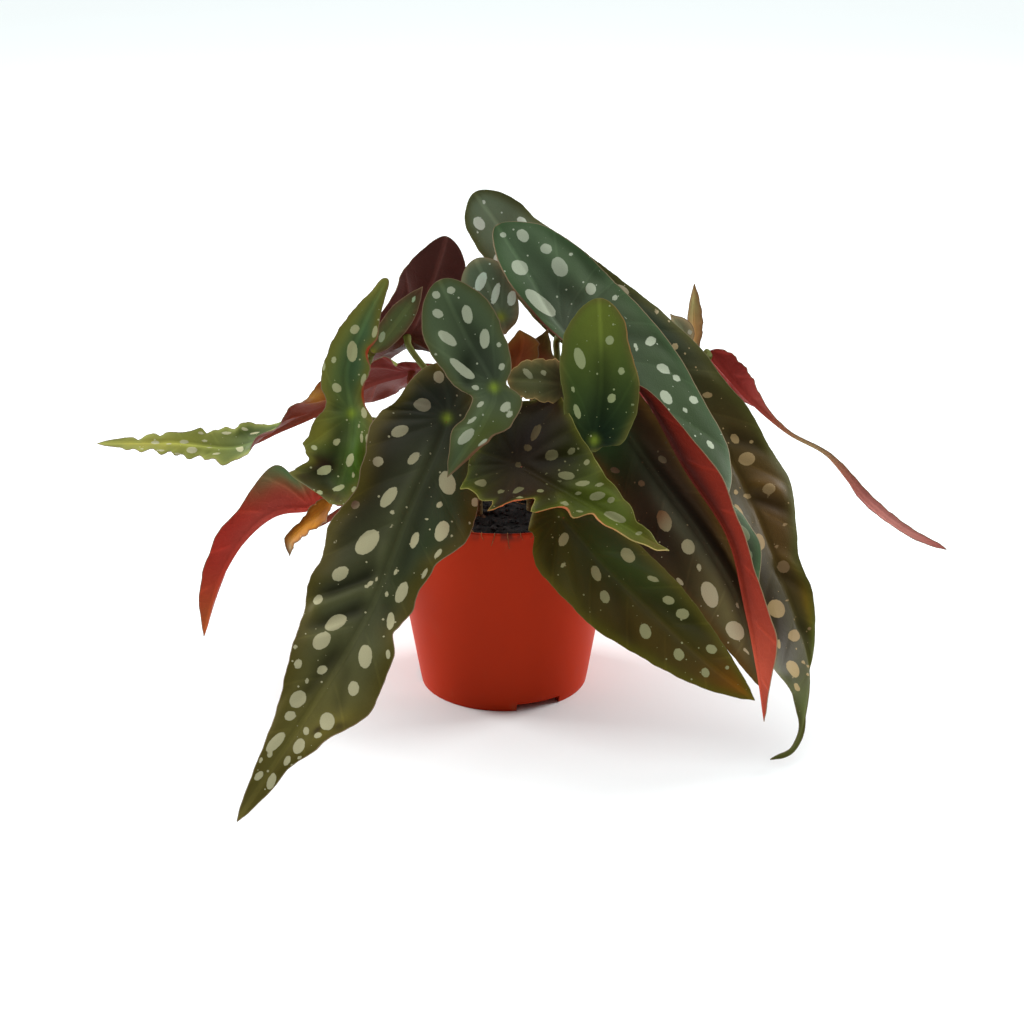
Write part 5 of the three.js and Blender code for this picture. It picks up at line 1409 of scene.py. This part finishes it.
def cane_radius(share):
    taper = CANE_RADIUS + (CANE_TOP_RADIUS - CANE_RADIUS) * share
    near = max(0.0, math.cos(2 * math.pi * CANE_NODES * share))
    return taper + CANE_NODE_SWELL * near ** 6 - 0.35 * near ** 60


def stalk_radius(share):
    return STALK_RADIUS + 0.8 * math.exp(-share * 9) + 0.5 * math.exp(-(1 - share) * 14)


def make_cane(index, cane):
    points, faces, place = tube(cane["line"], cane_radius, 20, 1.0)
    place[:, 2] = 1
    tints = [np.zeros((len(points), 3)) + linear(CANE_GREEN)]
    points, places = [points], [place]
    for name, leaf in LEAVES.items():
        if leaf["stalk"]["cane"] != index:
            continue
        more, more_faces, place = tube(stalk_line(leaf, cane), stalk_radius, 14, 1.6)
        start = sum(map(len, points))
        faces += [tuple(start + k for k in face) for face in more_faces]
        green = leaf["finish"] in ("leaf_bright", "leaf_olive", "leaf_blue_green", "leaf_maroon")
        share = place[:, 0] / place[-1, 0]
        colour = linear(STALK_GREEN if green else STALK_RED)
        towards_cane = np.exp(-share * 6)[:, None]
        tints.append(colour + (linear(CANE_GREEN) - colour) * towards_cane)
        points.append(more)
        places.append(place)
    piece = mesh_piece(cane["name"] + "_stems", np.concatenate(points), faces, [stem])
    store_colour(piece, "tint", np.concatenate(tints))
    store(piece, "stem_place", np.concatenate(places))
    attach(piece, "root")
    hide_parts(cane["name"])
    return piece


canes = [make_cane(index, cane) for index, cane in enumerate(CANES)]
print("canes with stalks:", [len(cane.data.polygons) for cane in canes])

# %% [markdown]
# ## The nursery pot
#
# The pot is a thin tapered wall with a plain rounded rim and a foot ring with three notches that let
# water out. Turning a profile round the axis gives the wall; three blocks cut the notches with a
# Boolean modifier, whose result is kept as plain mesh.

# %% Pot measures and profile
POT_HEIGHT = 103
POT_RIM_RADIUS = 60
POT_BASE_RADIUS = 43
POT_WALL = 1.4
POT_FLOOR_UNDER = 3
POT_FLOOR_THICK = 1.6
POT_FOOT_WIDTH = 4
NOTCH_COUNT = 3
NOTCH_HEIGHT = 4
NOTCH_DEPTH = 20
NOTCH_FIRST = math.radians(-65.4)
NOTCH_SPAN = math.radians(32)
POT_SIDES = 192
SHARP_EDGE = 32
POT_FLARE = (POT_RIM_RADIUS - POT_BASE_RADIUS) / POT_HEIGHT


def pot_radius(height):
    """Outer radius of the wall."""
    return POT_BASE_RADIUS + POT_FLARE * height


def turned(name, profile, sides, finishes):
    """A closed surface of a profile that starts and ends on the axis."""
    points, rings = [], []
    for radius, height in profile:
        if radius == 0:
            rings.append([len(points)] * sides)
            points.append((0, 0, height))
            continue
        rings.append(list(range(len(points), len(points) + sides)))
        turn = 2 * math.pi * np.arange(sides) / sides
        points += list(zip(radius * np.cos(turn), radius * np.sin(turn), np.full(sides, float(height))))
    faces = []
    for low, high in zip(rings, rings[1:]):
        for k in range(sides):
            n = (k + 1) % sides
            corners = [low[k], low[n], high[n], high[k]]
            faces.append(tuple(dict.fromkeys(corners)))
    return mesh_piece(name, points, faces, finishes, smooth_angle=SHARP_EDGE)


def corner_arc(centre, radius, start, end, steps=5):
    """Points of a rounded corner, with angles in degrees."""
    angles = np.radians(np.linspace(start, end, steps))
    return [(centre[0] + radius * math.cos(a), centre[1] + radius * math.sin(a)) for a in angles]


foot_inner = POT_BASE_RADIUS - POT_FOOT_WIDTH
floor_top = NOTCH_HEIGHT + POT_FLOOR_THICK
wall_steps = [(pot_radius(z), z) for z in np.linspace(4, POT_HEIGHT - 1.4, 26)]
inner_steps = [(pot_radius(z) - POT_WALL, z) for z in np.linspace(POT_HEIGHT - 1.4, floor_top, 20)]
pot_profile = (
    [(0, NOTCH_HEIGHT), (foot_inner - 1, NOTCH_HEIGHT), (foot_inner, POT_FLOOR_UNDER), (foot_inner, 0)]
    + corner_arc((POT_BASE_RADIUS - 0.5, 0.5), 0.5, -90, -8)
    + wall_steps
    + corner_arc((POT_RIM_RADIUS - 0.7, POT_HEIGHT - 0.7), 0.7, 0, 180, 9)
    + inner_steps
    + [(0, floor_top)])
print("pot profile points:", len(pot_profile))


# %% Pot finish
POT_ORANGE = (168, 42, 8)
POT_DUST = (150, 96, 66)
RIM_BAND_BROWN = (46, 32, 24)


def pot_finish():
    finish = Finish("orange_pot_plastic")
    spot = finish.node("ShaderNodeTexCoord", output="Object")
    x, y, z = finish.parts(spot)
    cloud = finish.grain(spot, 24.0, 3.0)
    fine = finish.grain(spot, 900.0, 2.0)
    flow = finish.grain(finish.place(x * 60, y * 60, z * 5), 1.0, 3.0)
    smear = finish.grain(finish.place(x * 90, y * 90, z * 34), 1.0, 4.0)
    near_rim = finish.soft(z, 0.088, 0.103)
    near_foot = finish.soft(z, 0.012, 0.0)
    dust = finish.soft(smear, 0.6, 0.78) * (0.03 + 0.4 * near_rim + 0.3 * near_foot)
    # Darker brown in patches, in a band just under the rim.
    rim_band = finish.soft(smear, 0.5, 0.62) * finish.soft(z, 0.0975, 0.1015) * 0.7
    colour = finish.shaded(linear(POT_ORANGE), 0.9 + 0.2 * cloud)
    colour = finish.mixed(dust, colour, linear(POT_DUST))
    colour = finish.mixed(rim_band, colour, linear(RIM_BAND_BROWN))
    height = 0.4 * fine + 0.5 * flow
    return finish.finished(
        Base_Color=colour, Roughness=0.42 + 0.14 * cloud + 0.3 * dust,
        Normal=finish.raised(height, 0.05 * MM), Specular_IOR_Level=0.07)


# %% Turn the pot and cut its notches
pot = turned("nursery_pot", pot_profile, POT_SIDES, [pot_finish()])
cutters = []
for index in range(NOTCH_COUNT):
    angle = NOTCH_FIRST + index * 2 * math.pi / NOTCH_COUNT
    wide = 2 * POT_BASE_RADIUS * math.sin(NOTCH_SPAN / 2)
    half = np.array([NOTCH_DEPTH, wide, 2 * NOTCH_HEIGHT]) / 2
    corners = [half * (a, b, c) for a in (-1, 1) for b in (-1, 1) for c in (-1, 1)]
    walls = [(0, 1, 3, 2), (4, 6, 7, 5), (0, 4, 5, 1), (2, 3, 7, 6), (0, 2, 6, 4), (1, 5, 7, 3)]
    block = mesh_piece(f"notch_{index}", corners, walls, [])
    block.rotation_euler = (0, 0, angle)
    block.location = (POT_BASE_RADIUS * MM * math.cos(angle), POT_BASE_RADIUS * MM * math.sin(angle), 0)
    cut = pot.modifiers.new(block.name, "BOOLEAN")
    cut.operation = "DIFFERENCE"
    cut.solver = "EXACT"
    cut.object = block
    cutters.append(block)
bpy.context.view_layer.update()
cut_mesh = bpy.data.meshes.new_from_object(pot.evaluated_get(bpy.context.evaluated_depsgraph_get()))
pot.modifiers.clear()
pot.data = cut_mesh
cut_mesh.set_sharp_from_angle(angle=math.radians(SHARP_EDGE))
for block in cutters:
    bpy.data.objects.remove(block)
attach(pot, "root")
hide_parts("pot")
print("pot faces:", len(pot.data.polygons))

# %% [markdown]
# ## Potting soil
#
# The soil is a nearly black peat mix. Its top is a fine grid pushed up and down by noise, and crumbs,
# bark chips and root fibres lie on it. The crumbs are joined in one mesh, because each one is too
# small to matter alone.

# %% Soil finish
def soil_finish(name, dark, pale, share):
    finish = Finish(name)
    spot = finish.node("ShaderNodeTexCoord", output="Object")
    lumps = finish.grain(spot, 320.0, 5.0)
    crumbs = finish.grain(spot, 1400.0, 3.0)
    blend = finish.soft(lumps + crumbs * 0.5, share, share + 0.3)
    colour = finish.mixed(blend, linear(dark), linear(pale))
    return finish.finished(
        Base_Color=colour, Roughness=0.82 + 0.16 * crumbs,
        Normal=finish.raised(lumps + 0.6 * crumbs, 0.9 * MM), Specular_IOR_Level=0.25)


peat = soil_finish("dark_peat", (14, 12, 10), (40, 32, 26), 0.74)
bark = soil_finish("bark_chips", (52, 36, 26), (104, 74, 50), 0.7)
fibre = soil_finish("root_fibres", (112, 74, 40), (168, 122, 72), 0.66)

# %% Soil surface
SOIL_LEVEL = 94
SOIL_RINGS = 44
SOIL_SIDES = 150
SOIL_BOTTOM = floor_top + 0.3


def soil_height(x, y):
    """How high the soil lies at a place in the pot."""
    spot = Vector((x, y, 0))
    broad = 2.2 * noise.noise(spot / 26 + Vector((3, 7, 1)))
    lumps = 1.5 * noise.noise(spot / 7) + 0.9 * abs(noise.noise(spot / 2.7))
    from_wall = pot_radius(SOIL_LEVEL) - POT_WALL - math.hypot(x, y)
    return SOIL_LEVEL + broad + lumps - 1.2 * math.exp(-from_wall / 4)


soil_rim = pot_radius(SOIL_LEVEL) - POT_WALL - 0.15
soil_profile = [(0, SOIL_BOTTOM), (pot_radius(SOIL_BOTTOM) - POT_WALL - 0.3, SOIL_BOTTOM)]
soil_profile += [(soil_rim * (1 - ring / SOIL_RINGS), SOIL_LEVEL) for ring in range(SOIL_RINGS)]
soil_profile.append((0, SOIL_LEVEL))
soil = turned("potting_soil", soil_profile, SOIL_SIDES, [peat])
for vertex in soil.data.vertices:
    if vertex.co.z > (SOIL_LEVEL - 1) * MM:
        vertex.co.z = soil_height(vertex.co.x / MM, vertex.co.y / MM) * MM
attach(soil, "root")
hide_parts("soil")
print("soil faces:", len(soil.data.polygons))


# %% Crumbs, chips and fibres on the soil
CRUMBS = 420
CHIPS = 46
FIBRES = 34
chance = random.Random(11)


def lump(centre, size, seed):
    """A rough little stone-like body: a ball of 26 points pushed about."""
    points = []
    for latitude in (-60, -20, 20, 60):
        for k in range(6):
            a, b = math.radians(latitude), math.radians(60 * k + latitude)
            points.append((math.cos(a) * math.cos(b), math.cos(a) * math.sin(b), math.sin(a)))
    points = [(0, 0, -1), *points, (0, 0, 1)]
    faces = [(0, 1 + (k + 1) % 6, 1 + k) for k in range(6)]
    for ring in range(3):
        base = 1 + ring * 6
        faces += [(base + k, base + (k + 1) % 6, base + 6 + (k + 1) % 6, base + 6 + k) for k in range(6)]
    faces += [(19 + k, 19 + (k + 1) % 6, 25) for k in range(6)]
    spread_out = [1 + 0.5 * noise.noise(Vector(p) * 1.3 + Vector((seed, 0, 0))) for p in points]
    body = np.array(points) * np.array(spread_out)[:, None] * np.array(size)
    spin = chance.uniform(0, math.pi)
    turn = np.array([[math.cos(spin), -math.sin(spin), 0], [math.sin(spin), math.cos(spin), 0], [0, 0, 1]])
    return body @ turn.T + centre, faces


def scatter(name, count, sizes, finish, reach):
    """Lumps lying on the soil, in one mesh."""
    points, faces = [], []
    for index in range(count):
        turn = chance.uniform(0, 2 * math.pi)
        radius = reach * math.sqrt(chance.random())
        x, y = radius * math.cos(turn), radius * math.sin(turn)
        size = [chance.uniform(*pair) for pair in sizes]
        z = soil_height(x, y) + 0.25 * size[2]
        body, body_faces = lump(np.array([x, y, z]), size, index)
        start = 26 * index
        points.append(body)
        faces += [tuple(start + k for k in face) for face in body_faces]
    piece = mesh_piece(name, np.concatenate(points), faces, [finish], smooth_angle=40)
    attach(piece, "root")
    return piece


crumbs = scatter("soil_crumbs", CRUMBS, ((0.7, 2.1), (0.7, 1.9), (0.5, 1.4)), peat, soil_rim - 1.5)
chips = scatter("bark_bits", CHIPS, ((1.6, 4.2), (0.9, 2.2), (0.5, 1.0)), bark, soil_rim - 4)
print("crumbs and chips:", len(crumbs.data.polygons) + len(chips.data.polygons), "faces")


# %% Root fibres, on the soil and over the rim
def fibre_line(index):
    turn = chance.uniform(0, 2 * math.pi) if index > 9 else math.radians(-100 + 6 * index)
    radius = soil_rim * (0.97 if index < 10 else math.sqrt(chance.random()) * 0.9)
    heading = turn + chance.uniform(-1.4, 1.4)
    x, y = radius * math.cos(turn), radius * math.sin(turn)
    line = []
    for step in range(5):
        z = soil_height(x, y) + 0.4
        line.append(np.array([x, y, z]))
        x += 3.2 * math.cos(heading)
        y += 3.2 * math.sin(heading)
        heading += chance.uniform(-0.7, 0.7)
        if math.hypot(x, y) > soil_rim - 0.8:
            break
    if index < 10:
        over = pot_radius(POT_HEIGHT) + 0.25
        down = chance.uniform(3, 9)
        outward = np.array([math.cos(turn), math.sin(turn), 0])
        lip = outward * (over - 0.9) + [0, 0, POT_HEIGHT + 0.35]
        outside = outward * (pot_radius(POT_HEIGHT - down) + 0.3)
        hang = outside + [chance.uniform(-2, 2), 0, POT_HEIGHT - down]
        inside = outward * (soil_rim - 0.6) + [0, 0, 99]
        line = [line[0], inside, lip, outward * over + [0, 0, POT_HEIGHT - 1], hang]
    return line


points, faces = [], []
for index in range(FIBRES):
    line = fibre_line(index)
    if len(line) < 3:
        continue
    more, more_faces, _ = tube(line, lambda share: 0.32 * (1 - 0.6 * share), 6, 1.2)
    start = sum(map(len, points))
    points.append(more)
    faces += [tuple(start + k for k in face) for face in more_faces]
fibres = mesh_piece("root_fibre_threads", np.concatenate(points), faces, [fibre])
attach(fibres, "root")
print("fibres:", len(fibres.data.polygons), "faces")

# %% [markdown]
# ## Floor, light and camera
#
# The plant stands on a plain white studio floor. Two large soft lights, one on each side and a little
# behind the plant, leave the middle of the pot darker than its flanks and a small soft shadow in
# front of it. The air above lights the leaves; it is dim on the camera's side.

# %% Floor
FLOOR_HALF = 9.0
FLOOR_WHITE = (0.87, 0.93, 0.93)


def floor_finish():
    finish = Finish("studio_floor")
    spot = finish.node("ShaderNodeTexCoord", output="Object")
    cloud = finish.grain(spot, 1.5, 2.0)
    colour = finish.shaded(FLOOR_WHITE, 0.99 + 0.02 * cloud)
    return finish.finished(
        Base_Color=colour, Roughness=0.75 + 0.1 * cloud, Specular_IOR_Level=0.1)


edge = FLOOR_HALF / MM
floor = mesh_piece(
    "studio_floor", [(-edge, -edge, 0), (edge, -edge, 0), (edge, edge, 0), (-edge, edge, 0)],
    [(0, 1, 2, 3)], [floor_finish()])

# %% Lights
def soft_light(name, place, target, size, power, colour=(1, 1, 1)):
    """A square area light at place, facing target."""
    lamp = bpy.data.lights.new(name, "AREA")
    lamp.shape = "SQUARE"
    lamp.size = size
    lamp.energy = power
    lamp.color = colour
    piece = bpy.data.objects.new(name, lamp)
    piece.location = place
    piece.rotation_euler = (Vector(target) - Vector(place)).to_track_quat("-Z", "Y").to_euler()
    bpy.context.scene.collection.objects.link(piece)
    return piece


aim = (0, 0, 0.1)
soft_light("light_left", (-1.5, 0.55, 0.6), aim, 0.8, 34)
soft_light("light_right", (1.5, 0.68, 0.6), aim, 0.8, 30)


# %% Air light, brightest above and dim on the camera's side
HORIZON_LIGHT = 0.1
ZENITH_LIGHT = 2.6
CAMERA_SIDE_LIGHT = 0.18


class Air(Finish):
    """The nodes of the world."""

    def __init__(self, name):
        self.world = bpy.data.worlds.new(name)
        self.world.use_nodes = True
        self.tree = self.world.node_tree
        self.tree.nodes.clear()


air = Air("studio_air")
_, depth, height = air.parts(air.node("ShaderNodeTexCoord", output="Generated"))
strength = HORIZON_LIGHT + (ZENITH_LIGHT - HORIZON_LIGHT) * height.most(0.0) ** 2
strength = strength * (CAMERA_SIDE_LIGHT + (1 - CAMERA_SIDE_LIGHT) * air.soft(depth, -0.7, 0.1))
glow = air.node("ShaderNodeBackground", None, {"Color": (1, 1, 1), "Strength": strength})
air.node("ShaderNodeOutputWorld", None, {"Surface": glow})
bpy.context.scene.world = air.world
bpy.context.scene.view_settings.view_transform = "Standard"
print("lights: 2 boxes and the air")

# %% Camera
CAMERA_TARGET = Vector((4.2, 0, 91.2)) * MM
CAMERA_DISTANCE = 1.0
CAMERA_LIFT = math.radians(21.2)
PHOTO_WIDTH = 1024
FOCAL_PIXELS = 1970
SENSOR = 36
camera_data = bpy.data.cameras.new("photo_camera")
camera_data.sensor_width = SENSOR
camera_data.lens = SENSOR * FOCAL_PIXELS / PHOTO_WIDTH
camera_data.clip_start = 0.05
camera_data.clip_end = 50
camera = bpy.data.objects.new("photo_camera", camera_data)
back = Vector((0, -math.cos(CAMERA_LIFT), math.sin(CAMERA_LIFT)))
camera.location = CAMERA_TARGET + CAMERA_DISTANCE * back
camera.rotation_euler = (math.pi / 2 - CAMERA_LIFT, 0, 0)
bpy.context.scene.collection.objects.link(camera)
bpy.context.scene.camera = camera
print("camera at", [round(x, 3) for x in camera.location])
